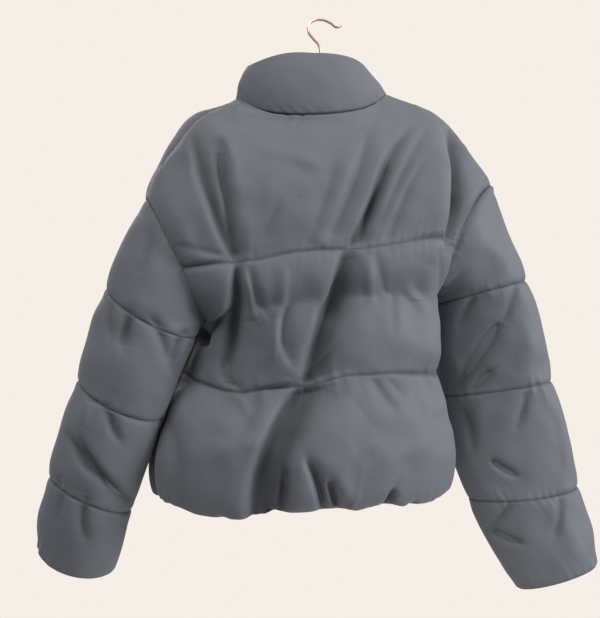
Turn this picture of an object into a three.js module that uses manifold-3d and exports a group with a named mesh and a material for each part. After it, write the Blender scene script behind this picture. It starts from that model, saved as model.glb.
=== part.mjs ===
// A padded puffer jacket hanging on a wire hanger, its back towards +Y and its zipped front towards -Y.
// Millimetres, +Z up, +X to the wearer's left. The origin is under the top of the hanger's hook, where a
// rail touches.
import * as THREE from "three";
import Module from "manifold-3d";
import { mergeVertices } from "three/addons/utils/BufferGeometryUtils.js";

const wasm = await Module();
wasm.setup();

// Driving sizes
const CLOTH = 3; // wall at a seam, where the padding is stitched flat
const SEAM_GAP = 0.25; // each piece ends this far from its seam line
const COLLAR_GAP = 1.2; // the collar's foot stands this far up from the neck seam
const ZIP_HALF_GAP = 3.5; // the front edges stand this far from the zip's middle
const BODY_PUFF = 16; // padding between two quilting lines of the body
const HEM_PUFF = 19;
const SLEEVE_PUFF = 7;
const COLLAR_PUFF = 13;
const HEM_LOW = 0.75; // under 1 sets the hem channel's fullest place nearer the hem
const SWELL = { body: 0.6, sleeve: 0.6, collar: 1.3 }; // under 1 is a fuller channel, over 1 a peaked one
const SLEEVE_INSIDE = 0.35; // share of the padding left on the sleeve's inner side
const COLLAR_ROLL = 0.9; // under 1 leaves the collar's upper edge padded
const BODY_EDGE = 34; // the padding swells to its full height this far from a sewn edge
const COLUMNS = { shoulderRight: 10, neckRight: 4, neckLeft: 6, shoulderLeft: 9 };
const CHANNEL_ROWS = [7, 8, 7]; // rows of faces in the hem, middle and yoke channels
const SLEEVE_ROWS = 5; // rows of faces in each sleeve channel
const COLLAR_ROWS = 7;

// Where the body's columns stand, from the right armhole to the left one
const NECK_RIGHT = 0.38;
const MIDDLE = 0.5;
const NECK_LEFT = 0.66;

// v counts the quilting channels from the hem: 0 hem, 1 lower line, 1.5 armpit, 2 upper line, 3 shoulder
// and neck seam
const ARMPIT_V = 1.5;
const UPPER_SEAM_V = 2;
const TOP_V = 3;

// Level sections of the body, on the inner face of its wall. Right and left are the wearer's. The side
// seams lie at yRight and yLeft, and back and front bulge from the line between them. sag drops the
// middle.
const BODY_SECTIONS = [
  { v: 0.0, xRight: -180, zRight: -698, xLeft: 230, zLeft: -700,
    yRight: 2, yLeft: 26, back: 80, front: 92, sag: -16, over: 14 },
  { v: 0.3, xRight: -184, zRight: -652, xLeft: 232, zLeft: -652,
    yRight: 6, yLeft: 28, back: 96, front: 116, sag: -12, over: 14 },
  { v: 0.65, xRight: -174, zRight: -588, xLeft: 217, zLeft: -588,
    yRight: 10, yLeft: 18, back: 98, front: 114, sag: -12, over: 8 },
  { v: 1.0, xRight: -166, zRight: -525, xLeft: 200, zLeft: -527,
    yRight: 14, yLeft: -6, back: 92, front: 100, sag: -13, over: 13 },
  { v: 1.25, xRight: -164, zRight: -466, xLeft: 181, zLeft: -484,
    yRight: 12, yLeft: -2, back: 90, front: 100, sag: -12, over: 14 },
  { v: 1.5, xRight: -167, zRight: -402, xLeft: 175, zLeft: -437,
    yRight: -8, yLeft: 10, back: 88, front: 96, sag: -22, over: 0 },
  { v: 1.75, xRight: -175, zRight: -360, xLeft: 190, zLeft: -402,
    yRight: -9.5, yLeft: 11, back: 78, front: 85, sag: -12.5, over: 0 },
  { v: 2.0, xRight: -184, zRight: -322, xLeft: 208, zLeft: -370,
    yRight: -8, yLeft: 10, back: 46, front: 52, sag: 0, over: 0 },
];

const OVER_FROM = 0.7; // from here the front reaches out past the left side seam, by over

// The shoulder seams and the neckline, from the right armhole (s = 0) to the left one. turn is how far the
// back has rolled over, in degrees, when it reaches this line, and turnFront the same for the front: the
// left shoulder seam lies behind the ridge of its shoulder.
const SHOULDERS = [
  { s: 0.0, x: -262, y: -8, z: -242, turn: 90, turnFront: 90 },
  { s: 0.13, x: -240, y: -6, z: -213, turn: 88, turnFront: 92 },
  { s: 0.24, x: -195, y: -2, z: -160, turn: 86, turnFront: 94 },
  { s: 0.3, x: -157, y: 2, z: -135, turn: 84, turnFront: 94 },
  { s: 0.38, x: -98, y: 8, z: -114, turn: 78, turnFront: 82 },
  { s: 0.66, x: 126, y: 10, z: -127, turn: 78, turnFront: 82 },
  { s: 0.75, x: 179, y: 30, z: -160, turn: 74, turnFront: 103 },
  { s: 0.82, x: 210, y: 28, z: -197, turn: 76, turnFront: 103 },
  { s: 0.9, x: 238, y: 18, z: -240, turn: 84, turnFront: 97 },
  { s: 1.0, x: 255, y: 10, z: -274, turn: 90, turnFront: 90 },
];
const NECKLINES = {
  back: [
    { s: 0.38, x: -98, y: 8, z: -114, turn: 78 },
    { s: 0.44, x: -48, y: 45, z: -141, turn: 64 },
    { s: 0.5, x: 14, y: 58, z: -152, turn: 60 },
    { s: 0.58, x: 78, y: 46, z: -150, turn: 64 },
    { s: 0.66, x: 126, y: 10, z: -127, turn: 78 },
  ],
  front: [
    { s: 0.38, x: -98, y: 8, z: -114, turn: 82 },
    { s: 0.44, x: -48, y: -46, z: -152, turn: 68 },
    { s: 0.5, x: 14, y: -62, z: -172, turn: 62 },
    { s: 0.58, x: 78, y: -48, z: -160, turn: 68 },
    { s: 0.66, x: 126, y: 10, z: -127, turn: 82 },
  ],
};

// The armholes: from the armpit up to the shoulder point, as deep as back and front, bowed inwards behind
// by bow. seamTurn is the angle round the armhole, in degrees from level, where the upper quilting line
// meets it.
const ARMHOLES = {
  left: { s: 1, xTop: 255, zTop: -274, xPit: 175, zPit: -437,
    y: 10, back: 60, front: 60, bow: 5.6, seamTurn: -10 },
  right: { s: 0, xTop: -262, zTop: -242, xPit: -167, zPit: -402,
    y: -8, back: 50, front: 60, bow: 64.4, seamTurn: 0 },
};

// Rings of the sleeves, on the inner face: the outer and inner points of each, how far it lies towards the
// back, its thickness front to back, how much further back its inner point lies, and how far the ring dips
// at its back. Ring 0 is the armhole, 1 to 3 are quilting lines and 4 is the cuff.
const SLEEVE_RINGS = {
  left: [
    { v: 0, xOuter: 255, zOuter: -274, xInner: 175, zInner: -437, y: 10, depth: 120, tip: 0, dip: 0 },
    { v: 1, xOuter: 312, zOuter: -405, xInner: 192, zInner: -466, y: 12, depth: 122, tip: 16, dip: 20 },
    { v: 2, xOuter: 352, zOuter: -536, xInner: 240, zInner: -582, y: 14, depth: 116, tip: 16, dip: 18 },
    { v: 3, xOuter: 392, zOuter: -674, xInner: 286, zInner: -720, y: 8, depth: 108, tip: 6, dip: 8 },
    { v: 4, xOuter: 410, zOuter: -780, xInner: 309, zInner: -804, y: 2, depth: 70, tip: 0, dip: 20 },
  ],
  right: [
    { v: 0, xOuter: -262, zOuter: -242, xInner: -167, zInner: -402, y: -8, depth: 110, tip: 0, dip: 0 },
    { v: 0.5, xOuter: -284, zOuter: -318, xInner: -174, zInner: -407, y: -11, depth: 108, tip: -17, dip: -2.5 },
    { v: 1, xOuter: -317, zOuter: -390, xInner: -182, zInner: -427, y: -14, depth: 104, tip: -30, dip: -4 },
    { v: 2, xOuter: -362, zOuter: -545, xInner: -205, zInner: -568, y: -22, depth: 84, tip: -28, dip: 0 },
    { v: 3, xOuter: -406, zOuter: -710, xInner: -243, zInner: -725, y: -24, depth: 66, tip: -10, dip: 8 },
    { v: 4, xOuter: -437, zOuter: -834, xInner: -318, zInner: -865, y: -20, depth: 54, tip: 0, dip: 3 },
  ],
};
const PIT_ROUND = 12; // below the armpit seam the body turns in, and the sleeve out, by up to this
const PIT_FADE = { body: 0.05, sleeve: 0.12 }; // how fast that turn comes in, in channels
const PIT_REACH = 120; // the padding of both is squeezed flat within this of the armpit
const NECK_REACH = 100; // and that of the body within this of the collar's seam

// The collar's upper ring, on the inner face. It droops at the sides and the front, and a higher droop
// keeps that nearer the very sides.
const COLLAR_TOP = {
  x: 19, y: -2, halfWidth: 87, halfDepth: 52, zBack: -60, zFront: -84, zLeft: -77, zRight: -92, droop: 3,
};
const COLLAR_ENDS = [0.1, 0.45, 0.85]; // the share of the padding in the columns beside the zip
const NECK_RING = { x: 14, y: -2, halfWidth: 112, halfDepth: 60 };

// The largest folds, as lines on the panel seen square from the back or front: start, middle and end in X
// and Z, half-width, and height, below zero for a trough.
const FOLDS = [
  { panel: "back", x0: -98, z0: -177, x1: -61, z1: -263, x2: -28, z2: -340, width: 16, height: -6 },
  { panel: "back", x0: -28, z0: -352, x1: 4, z1: -440, x2: 39, z2: -530, width: 24, height: -13 },
  { panel: "back", x0: 12, z0: -356, x1: 52, z1: -440, x2: 84, z2: -520, width: 24, height: 6 },
  { panel: "back", x0: 42, z0: -548, x1: 74, z1: -601, x2: 108, z2: -680, width: 24, height: -14 },
  { panel: "back", x0: 169, z0: -200, x1: 153, z1: -280, x2: 138, z2: -345, width: 14, height: -7 },
  { panel: "back", x0: 136, z0: -355, x1: 133, z1: -426, x2: 146, z2: -500, width: 15, height: -12 },
  { panel: "back", x0: -183, z0: -175, x1: -172, z1: -257, x2: -160, z2: -330, width: 16, height: 13 },
  { panel: "back", x0: -214, z0: -190, x1: -200, z1: -257, x2: -186, z2: -310, width: 15, height: -12 },
  { panel: "back", x0: 3, z0: -553, x1: -18, z1: -631, x2: -4, z2: -690, width: 22, height: 7 },
  { panel: "front", x0: 110, z0: -190, x1: 96, z1: -280, x2: 90, z2: -345, width: 18, height: -8 },
  { panel: "front", x0: -104, z0: -180, x1: -88, z1: -262, x2: -96, z2: -330, width: 18, height: -8 },
  { panel: "front", x0: 132, z0: -362, x1: 112, z1: -440, x2: 124, z2: -520, width: 20, height: -10 },
  { panel: "front", x0: -92, z0: -350, x1: -70, z1: -440, x2: -88, z2: -515, width: 20, height: -10 },
  { panel: "front", x0: 140, z0: -560, x1: 126, z1: -620, x2: 134, z2: -685, width: 20, height: -9 },
  { panel: "front", x0: -84, z0: -555, x1: -64, z1: -622, x2: -76, z2: -690, width: 20, height: -9 },
];
const FOLD_FADE = 26; // a fold dies out this close to a sewn edge
const FOLD_STEPS = 10; // places along a fold's line where the distance to it is measured
const FOLD_TIP = 0.35; // share of a fold's height left at its two ends

// The hanger: one bent wire
const WIRE = 3.6;
const HOOK = [
  { x: -30.5, z: -6 }, { x: -23.5, z: -8.5 }, { x: -14, z: -2.5 }, { x: 0, z: 1.8 }, { x: 11, z: 0 },
  { x: 18.5, z: -6.5 }, { x: 19.5, z: -16 }, { x: 12, z: -27 }, { x: 4, z: -36 }, { x: 1.5, z: -46 },
]; // the middle of the wire, from its tip
const HANGER = {
  neckZ: -72, shoulderDrop: 5.5, reachRight: -184, reachLeft: 186, barZ: -214, barSag: 2, y: 4, endBend: 12,
};
const HANGER_BENDS = [0, 0.3, 0.65, 1]; // places along each arm, which follows the shoulder seam above it
const TWIST = [
  { radius: 0, z: -13 },
  { radius: 3.6, z: -12 },
  { radius: 4.4, z: 0 },
  { radius: 3.6, z: 12 },
  { radius: 0, z: 13 },
]; // where the hook is wound round the arms

// The zip: tapes behind the front edges, and a slider at the top of the collar. Out is towards the front.
const ZIP = { tape: 12, tapeThick: 1, tapeUnder: 1.1, tapeLean: 0.5, sliderAt: 0.88 };
const TAPE_AIM = 0.022; // how far along the front's level line the tape's direction is taken
const SLIDER = {
  width: 9, height: 11, corner: 2, plateIn: 6.4, plateOut: 8.2, neck: 3, neckIn: 0.5, joint: 0.5,
};
const BRIDGE = { width: 2, out: 12, half: 4.2, cut: 1 };
const BRIDGE_HOLE = { half: 2.3, from: 8.3, to: 10.9 };
const PULL = {
  width: 8, corner: 0.9, above: 1, length: 34, thick: 1.6, out: 9.6, bar: 1.8, window: 3.4, windowEnd: 7,
};

const COLOURS = {
  shell: { color: 0x5f6268, roughness: 0.62, metalness: 0 },
  metal: { color: 0x8d8f94, roughness: 0.32, metalness: 1 },
  tape: { color: 0x4a4d53, roughness: 0.85, metalness: 0 },
  wire: { color: 0xd9a08a, roughness: 0.25, metalness: 1 },
};

const lerp = THREE.MathUtils.lerp;
const radians = THREE.MathUtils.degToRad;

// The value of a named column at a place between rows, on a smooth curve through them all.
function smooth(rows, key, at, column) {
  let k = 0;
  while (k < rows.length - 2 && at > rows[k + 1][key]) k += 1;
  const step = rows[k + 1][key] - rows[k][key];
  const slope = (i) => {
    const before = rows[Math.max(i - 1, 0)];
    const after = rows[Math.min(i + 1, rows.length - 1)];
    return ((after[column] - before[column]) / (after[key] - before[key])) * step;
  };
  const u = (at - rows[k][key]) / step;
  const [a, b, da, db] = [rows[k][column], rows[k + 1][column], slope(k), slope(k + 1)];
  return a + u * (da + u * (3 * (b - a) - 2 * da - db + u * (2 * (a - b) + da + db)));
}

// The point of an armhole at an angle from -90 degrees, the armpit, to 90, the shoulder; side is 1 behind,
// -1 in front.
function armholePoint(arm, angle, side) {
  const hole = ARMHOLES[arm];
  const [rise, out] = [(1 + Math.sin(angle)) / 2, Math.cos(angle)];
  const along = new THREE.Vector2(hole.xTop - hole.xPit, hole.zTop - hole.zPit).normalize();
  const inwards = arm === "left" ? -1 : 1;
  const bow = (side > 0 ? hole.bow : 0) * out * rise;
  return new THREE.Vector3(
    lerp(hole.xPit, hole.xTop, rise) + inwards * Math.abs(along.y) * bow,
    hole.y + side * out * (side > 0 ? hole.back : hole.front),
    lerp(hole.zPit, hole.zTop, rise) - Math.abs(along.x) * bow,
  );
}

// The armhole angle beside a level of the body.
function armholeAngle(arm, v) {
  const seam = ARMHOLES[arm].seamTurn;
  if (v <= UPPER_SEAM_V) return radians(lerp(-90, seam, (v - ARMPIT_V) / (UPPER_SEAM_V - ARMPIT_V)));
  return radians(lerp(seam, 90, v - UPPER_SEAM_V));
}

// Adds what brings the two ends of a level line onto the armholes. In its middle that comes in gently
// above the armpits, so that the panel has no crease there.
function meetArmholes(point, s, v, side, endAt) {
  if (v < ARMPIT_V) return point;
  const above = Math.min(1, (v - ARMPIT_V) / (UPPER_SEAM_V - ARMPIT_V));
  const middle = 4 * s * (1 - s);
  const comeIn = lerp(1, above * above * (3 - 2 * above), middle);
  for (const [arm, share] of [["right", 1 - s], ["left", s]]) {
    const shift = armholePoint(arm, armholeAngle(arm, v), side).sub(endAt(ARMHOLES[arm].s));
    point.addScaledVector(shift, share * comeIn);
  }
  return point;
}

function lowerBody(side, s, v) {
  const column = (name) => smooth(BODY_SECTIONS, "v", v, name);
  const below = ARMPIT_V - v;
  const tuck = below > 0 && v > 1 ? PIT_ROUND * (1 - Math.exp(-below / PIT_FADE.body)) * (v - 1) * 2 : 0;
  const at = (place) => {
    const across = (1 - Math.cos(Math.PI * place)) / 2;
    const bulge = Math.sin(Math.PI * place);
    const depth = column(side > 0 ? "back" : "front");
    const pastLeft = side < 0 && place > OVER_FROM ? (place - OVER_FROM) / (1 - OVER_FROM) : 0;
    const over = column("over") * Math.sin(Math.PI * pastLeft);
    return new THREE.Vector3(
      lerp(column("xRight") + tuck, column("xLeft") - tuck, across) + over,
      lerp(column("yRight"), column("yLeft"), across) + side * depth * bulge,
      lerp(column("zRight"), column("zLeft"), across) + column("sag") * bulge,
    );
  };
  return meetArmholes(at(s), s, v, side, at);
}

// The line where a panel ends at the shoulder or the neck, and how far the panel has rolled over there.
function topLine(side, s) {
  const isFront = side < 0;
  const inNeck = s > NECK_RIGHT && s < NECK_LEFT;
  const shoulder = SHOULDERS.filter((row) => (s <= NECK_RIGHT ? row.s <= NECK_RIGHT : row.s >= NECK_LEFT));
  const rows = inNeck ? NECKLINES[isFront ? "front" : "back"] : shoulder;
  const column = (name) => smooth(rows, "s", s, name);
  const turn = column(isFront && !inNeck ? "turnFront" : "turn");
  return { top: new THREE.Vector3(column("x"), column("y"), column("z")), turn };
}

function yoke(side, s, v) {
  const at = (place) => {
    const { top, turn } = topLine(side, place);
    const bottom = lowerBody(side, place, UPPER_SEAM_V);
    const end = radians(turn);
    const angle = end * (v - UPPER_SEAM_V);
    const rise = Math.sin(angle) / Math.sin(end);
    const out = (Math.cos(angle) - Math.cos(end)) / (1 - Math.cos(end));
    return new THREE.Vector3(
      lerp(bottom.x, top.x, rise),
      lerp(top.y, bottom.y, out),
      lerp(bottom.z, top.z, rise),
    );
  };
  return meetArmholes(at(s), s, v, side, at);
}

const body = (side, s, v) => (v <= UPPER_SEAM_V ? lowerBody(side, s, v) : yoke(side, s, v));

function sleeve(arm, angle, side, v) {
  const column = (name, at) => smooth(SLEEVE_RINGS[arm], "v", at, name);
  const outwards = arm === "left" ? 1 : -1;
  const ring = (at) => {
    const rise = (1 + Math.sin(angle)) / 2;
    const comeIn = 1 - Math.exp(-at / PIT_FADE.sleeve);
    const turnOut = at < 1 ? outwards * PIT_ROUND * comeIn * (1 - at) * (1 - rise) ** 2 : 0;
    const y = column("y", at) + column("tip", at) * (1 - rise);
    return new THREE.Vector3(
      lerp(column("xInner", at), column("xOuter", at), rise) + turnOut,
      y + (side * Math.cos(angle) * column("depth", at)) / 2,
      lerp(column("zInner", at), column("zOuter", at), rise) - side * Math.cos(angle) * column("dip", at),
    );
  };
  const fade = Math.max(0, 1 - v) ** 2;
  const shift = armholePoint(arm, angle, side).sub(ring(0));
  return ring(v).addScaledVector(shift, fade);
}

// The collar stands on the neckline: s and side give the place round it, h runs from 0 at the seam to 1 at
// the top.
function collar(side, s, h) {
  const foot = body(side, s, TOP_V);
  const [footX, footY] = [foot.x - NECK_RING.x, foot.y - NECK_RING.y];
  const angle = Math.atan2(footY / NECK_RING.halfDepth, footX / NECK_RING.halfWidth);
  const [out, back] = [Math.cos(angle), Math.sin(angle)];
  const ends = lerp(COLLAR_TOP.zFront, COLLAR_TOP.zBack, (1 + back) / 2);
  const top = new THREE.Vector3(
    COLLAR_TOP.x + COLLAR_TOP.halfWidth * out,
    COLLAR_TOP.y + COLLAR_TOP.halfDepth * back,
    lerp(ends, out > 0 ? COLLAR_TOP.zLeft : COLLAR_TOP.zRight, Math.abs(out) ** COLLAR_TOP.droop),
  );
  return foot.lerp(top, h);
}

// The outward normal of a surface that takes two numbers, worked out from neighbouring points inside its
// limits.
function normalOf(surface, a, b, [aLow, aHigh], [bLow, bHigh], sign) {
  const step = 0.004;
  const [a0, a1] = [Math.max(a - step, aLow), Math.min(a + step, aHigh)];
  const [b0, b1] = [Math.max(b - step, bLow), Math.min(b + step, bHigh)];
  const across = surface(a1, b).sub(surface(a0, b));
  const along = surface(a, b1).sub(surface(a, b0));
  return across.cross(along).multiplyScalar(sign).normalize();
}

const QUARTER = Math.PI / 2;
const bodyNormal = (side, s, v) => normalOf((a, b) => body(side, a, b), s, v, [0, 1], [0, TOP_V], -side);
const sleeveNormal = (arm, angle, side, v) =>
  normalOf(
    (a, b) => sleeve(arm, a, side, b),
    angle,
    v,
    [-QUARTER, QUARTER],
    [0, 4],
    side * (arm === "left" ? 1 : -1),
  );
function collarNormal(side, s, h) {
  const limits = side > 0 || s < MIDDLE ? [NECK_RIGHT, side > 0 ? NECK_LEFT : MIDDLE] : [MIDDLE, NECK_LEFT];
  return normalOf((a, b) => collar(side, a, b), s, h, limits, [0, 1], -side);
}

const total = (normals) => normals.reduce((sum, n) => sum.add(n), new THREE.Vector3()).normalize();
const isNeck = (s) => s > NECK_RIGHT - 1e-6 && s < NECK_LEFT + 1e-6;
const isNeckCorner = (s) => Math.abs(s - NECK_RIGHT) < 1e-6 || Math.abs(s - NECK_LEFT) < 1e-6;

// Along a seam every piece that meets there shares one direction through the wall.
function bodyWallDirection(side, s, v) {
  const normals = [bodyNormal(side, s, v)];
  const arm = s === 0 ? "right" : s === 1 ? "left" : null;
  if (arm && (v <= ARMPIT_V || v === TOP_V)) normals.push(bodyNormal(-side, s, v));
  if (arm && v >= ARMPIT_V) normals.push(sleeveNormal(arm, armholeAngle(arm, v), side, 0));
  if (v === TOP_V && !arm) {
    if (!isNeck(s) || isNeckCorner(s)) normals.push(bodyNormal(-side, s, v));
    if (isNeck(s)) normals.push(isNeckCorner(s) ? neckDirection(s, 0) : collarNormal(side, s, 0));
  }
  return total(normals);
}

const neckDirection = (s, h) => total([collarNormal(1, s, h), collarNormal(-1, s, h)]);

// A closed wall over a grid of places: outwards from each inner point by its thickness, with its four
// edges closed. A ring closes on itself instead of having a first and last column.
function wallGeometry(inner, outer, ring) {
  const [columns, rows] = [inner.length, inner[0].length];
  const points = [...inner.flat(), ...outer.flat()];
  const index = (layer, i, j) => layer * columns * rows + (i % columns) * rows + j;
  const faces = [];
  const quad = (a, b, c, d) => faces.push(a, b, c, a, c, d);
  const lastColumn = ring ? columns : columns - 1;
  for (let i = 0; i < lastColumn; i += 1) {
    for (let j = 0; j < rows - 1; j += 1) {
      quad(index(1, i, j), index(1, i + 1, j), index(1, i + 1, j + 1), index(1, i, j + 1));
      quad(index(0, i, j), index(0, i, j + 1), index(0, i + 1, j + 1), index(0, i + 1, j));
    }
    quad(index(0, i, 0), index(0, i + 1, 0), index(1, i + 1, 0), index(1, i, 0));
    quad(index(0, i, rows - 1), index(1, i, rows - 1), index(1, i + 1, rows - 1), index(0, i + 1, rows - 1));
  }
  if (!ring) {
    for (let j = 0; j < rows - 1; j += 1) {
      quad(index(0, 0, j), index(1, 0, j), index(1, 0, j + 1), index(0, 0, j + 1));
      const k = columns - 1;
      quad(index(0, k, j), index(0, k, j + 1), index(1, k, j + 1), index(1, k, j));
    }
  }
  return facingOut(points, faces);
}

function facingOut(points, faces) {
  let volume = 0;
  for (let k = 0; k < faces.length; k += 3) {
    const [a, b, c] = faces.slice(k, k + 3).map((at) => points[at]);
    volume += a.dot(b.clone().cross(c));
  }
  if (volume < 0) faces.reverse();
  const geometry = new THREE.BufferGeometry().setFromPoints(points);
  geometry.setIndex(faces);
  geometry.computeVertexNormals();
  return geometry;
}

// Places from 0 to 1, close together at both ends, where padding curves most.
const eased = (count) => Array.from({ length: count + 1 }, (_, k) => (1 - Math.cos((Math.PI * k) / count)) / 2);
const spread = (from, to, count) => Array.from({ length: count + 1 }, (_, k) => lerp(from, to, k / count));
const joined = (...lists) => lists.flatMap((list, k) => (k ? list.slice(1) : list));

const swell = (q, sharpness) => Math.sin(Math.PI * THREE.MathUtils.clamp(q, 0, 1)) ** sharpness;
const roundOff = (distance, reach) => Math.sqrt(1 - (1 - Math.min(1, distance / reach)) ** 2);

// Distance from a point of the panel, seen square on, to a fold's line, and how far along the line it is.
function foldHeight(fold, x, z) {
  let [nearest, place] = [Infinity, 0];
  for (let k = 0; k <= FOLD_STEPS; k += 1) {
    const t = k / FOLD_STEPS;
    const [a, b, c] = [(1 - t) * (1 - 2 * t), 4 * t * (1 - t), t * (2 * t - 1)];
    const fx = a * fold.x0 + b * fold.x1 + c * fold.x2;
    const fz = a * fold.z0 + b * fold.z1 + c * fold.z2;
    const distance = Math.hypot(x - fx, z - fz);
    if (distance < nearest) [nearest, place] = [distance, t];
  }
  const fade = lerp(FOLD_TIP, 1, Math.sin(Math.PI * place));
  return fold.height * Math.exp(-((nearest / fold.width) ** 2)) * fade;
}

const PANELS = {
  back: { side: 1, s: joined(
    spread(0, NECK_RIGHT, COLUMNS.shoulderRight),
    spread(NECK_RIGHT, MIDDLE, COLUMNS.neckRight),
    spread(MIDDLE, NECK_LEFT, COLUMNS.neckLeft),
    spread(NECK_LEFT, 1, COLUMNS.shoulderLeft),
  ) },
};
const middleColumn = COLUMNS.shoulderRight + COLUMNS.neckRight;
PANELS.front_right = { side: -1, s: PANELS.back.s.slice(0, middleColumn + 1) };
PANELS.front_left = { side: -1, s: PANELS.back.s.slice(middleColumn) };
const bodyRows = joined(...CHANNEL_ROWS.map((count, channel) => eased(count).map((q) => channel + q)));

const armpits = Object.keys(ARMHOLES).map((arm) => armholePoint(arm, -QUARTER, 1));
const clearOfPits = (point) => Math.min(1, ...armpits.map((pit) => point.distanceTo(pit) / PIT_REACH));

function bodyPadding(point, v, edges, neckline) {
  const channel = Math.min(Math.floor(v), 2);
  const q = v - channel;
  const height = channel === 0 ? HEM_PUFF : BODY_PUFF;
  const place = channel === 0 ? q ** HEM_LOW : q;
  const fromNeck = () => Math.min(1, ...neckline.map((at) => at.distanceTo(point) / NECK_REACH));
  const clearOfNeck = v > UPPER_SEAM_V ? fromNeck() : 1;
  return height * swell(place, SWELL.body) * roundOff(edges, BODY_EDGE) * clearOfPits(point) * clearOfNeck;
}

function bodyPanel(name) {
  const { side, s } = PANELS[name];
  const kind = side > 0 ? "back" : "front";
  const folds = FOLDS.filter((fold) => fold.panel === kind);
  const neckline = s.filter(isNeck).map((place) => body(side, place, TOP_V));
  const [inner, outer] = [[], []];
  s.forEach((place, i) => {
    const line = bodyRows.map((v) => body(side, place, v));
    const first = bodyRows.map((v) => body(side, s[0], v));
    const last = bodyRows.map((v) => body(side, s[s.length - 1], v));
    inner.push([]);
    outer.push([]);
    line.forEach((point, j) => {
      const v = bodyRows[j];
      const ends = Math.min(point.distanceTo(line[0]), point.distanceTo(line[line.length - 1]));
      const sides = Math.min(point.distanceTo(first[j]), point.distanceTo(last[j]));
      const direction = bodyWallDirection(side, place, v);
      const fade = Math.min(1, Math.min(sides, ends) / FOLD_FADE);
      const fold = folds.reduce((sum, one) => sum + foldHeight(one, point.x, point.z), 0) * fade;
      const base = point.clone().addScaledVector(direction, fold);
      inner[i].push(base);
      outer[i].push(base.clone().addScaledVector(direction, CLOTH + bodyPadding(point, v, sides, neckline)));
    });
  });
  for (const layer of [inner, outer]) {
    const ends = layer.length - 1;
    trimColumn(layer, 0, 1, name === "front_left" ? ZIP_HALF_GAP : SEAM_GAP);
    trimColumn(layer, ends, ends - 1, name === "front_right" ? ZIP_HALF_GAP : SEAM_GAP);
    layer.forEach((line) => moveTowards(line[line.length - 1], line[line.length - 2], SEAM_GAP));
  }
  return wallGeometry(inner, outer, false);
}

const moveTowards = (point, target, distance) =>
  point.addScaledVector(target.clone().sub(point).normalize(), distance);
const trimColumn = (layer, edge, next, distance) =>
  layer[edge].forEach((point, j) => moveTowards(point, layer[next][j], distance));

function sleeveTube(arm) {
  const angles = bodyRows.filter((v) => v >= ARMPIT_V - 1e-6).map((v) => [v, armholeAngle(arm, v)]);
  const around = [
    ...angles.map(([v, angle]) => ({ v, angle, side: 1 })),
    ...angles.slice(1, -1).reverse().map(([v, angle]) => ({ v, angle, side: -1 })),
  ];
  const rows = joined(...[0, 1, 2, 3].map((channel) => eased(SLEEVE_ROWS).map((q) => channel + q)));
  const [inner, outer] = [[], []];
  for (const { v: bodyV, angle, side } of around) {
    inner.push([]);
    outer.push([]);
    for (const v of rows) {
      const base = sleeve(arm, angle, side, v);
      const direction = v === 0
        ? armholeDirection(arm, angle, side, bodyV)
        : sleeveNormal(arm, angle, side, v);
      const share = lerp(SLEEVE_INSIDE, 1, (1 + Math.sin(angle)) / 2) * clearOfPits(base);
      const padding = SLEEVE_PUFF * swell(v - Math.min(Math.floor(v), 3), SWELL.sleeve) * share;
      inner[inner.length - 1].push(base);
      outer[outer.length - 1].push(base.clone().addScaledVector(direction, CLOTH + padding));
    }
  }
  for (const layer of [inner, outer]) layer.forEach((line) => moveTowards(line[0], line[1], SEAM_GAP));
  return wallGeometry(inner, outer, true);
}

function armholeDirection(arm, angle, side, bodyV) {
  const end = ARMHOLES[arm].s;
  const normals = [bodyNormal(side, end, bodyV), sleeveNormal(arm, angle, side, 0)];
  if (bodyV <= ARMPIT_V || bodyV === TOP_V) normals.push(bodyNormal(-side, end, bodyV));
  return total(normals);
}

// Places round the neck, from the zip at the right front, round the back, to the zip at the left front.
const neckPlaces = (() => {
  const neck = PANELS.back.s.filter(isNeck);
  const rightFront = neck.filter((s) => s < MIDDLE + 1e-6).reverse().map((s) => ({ side: -1, s }));
  const leftFront = neck.filter((s) => s > MIDDLE - 1e-6).reverse().map((s) => ({ side: -1, s }));
  return joined(rightFront, neck.map((s) => ({ side: 1, s })), leftFront);
})();

function collarBand() {
  const heights = eased(COLLAR_ROWS);
  const [inner, outer] = [[], []];
  neckPlaces.forEach(({ side, s }, i) => {
    const ends = Math.min(i, neckPlaces.length - 1 - i);
    inner.push([]);
    outer.push([]);
    for (const h of heights) {
      const corner = isNeckCorner(s);
      const flat = corner ? neckDirection(s, h) : collarNormal(side, s, h);
      const direction = h === 0 ? bodyWallDirection(side, s, TOP_V) : flat;
      const padding = COLLAR_PUFF * swell(COLLAR_ROLL * h, SWELL.collar) * (COLLAR_ENDS[ends] ?? 1);
      const base = collar(side, s, h);
      inner[i].push(base);
      outer[i].push(base.clone().addScaledVector(direction, CLOTH + padding));
    }
  });
  const last = neckPlaces.length - 1;
  for (const layer of [inner, outer]) {
    trimColumn(layer, 0, 1, ZIP_HALF_GAP);
    trimColumn(layer, last, last - 1, ZIP_HALF_GAP);
    layer.forEach((line) => moveTowards(line[0], line[1], COLLAR_GAP));
  }
  return wallGeometry(inner, outer, false);
}

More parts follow.
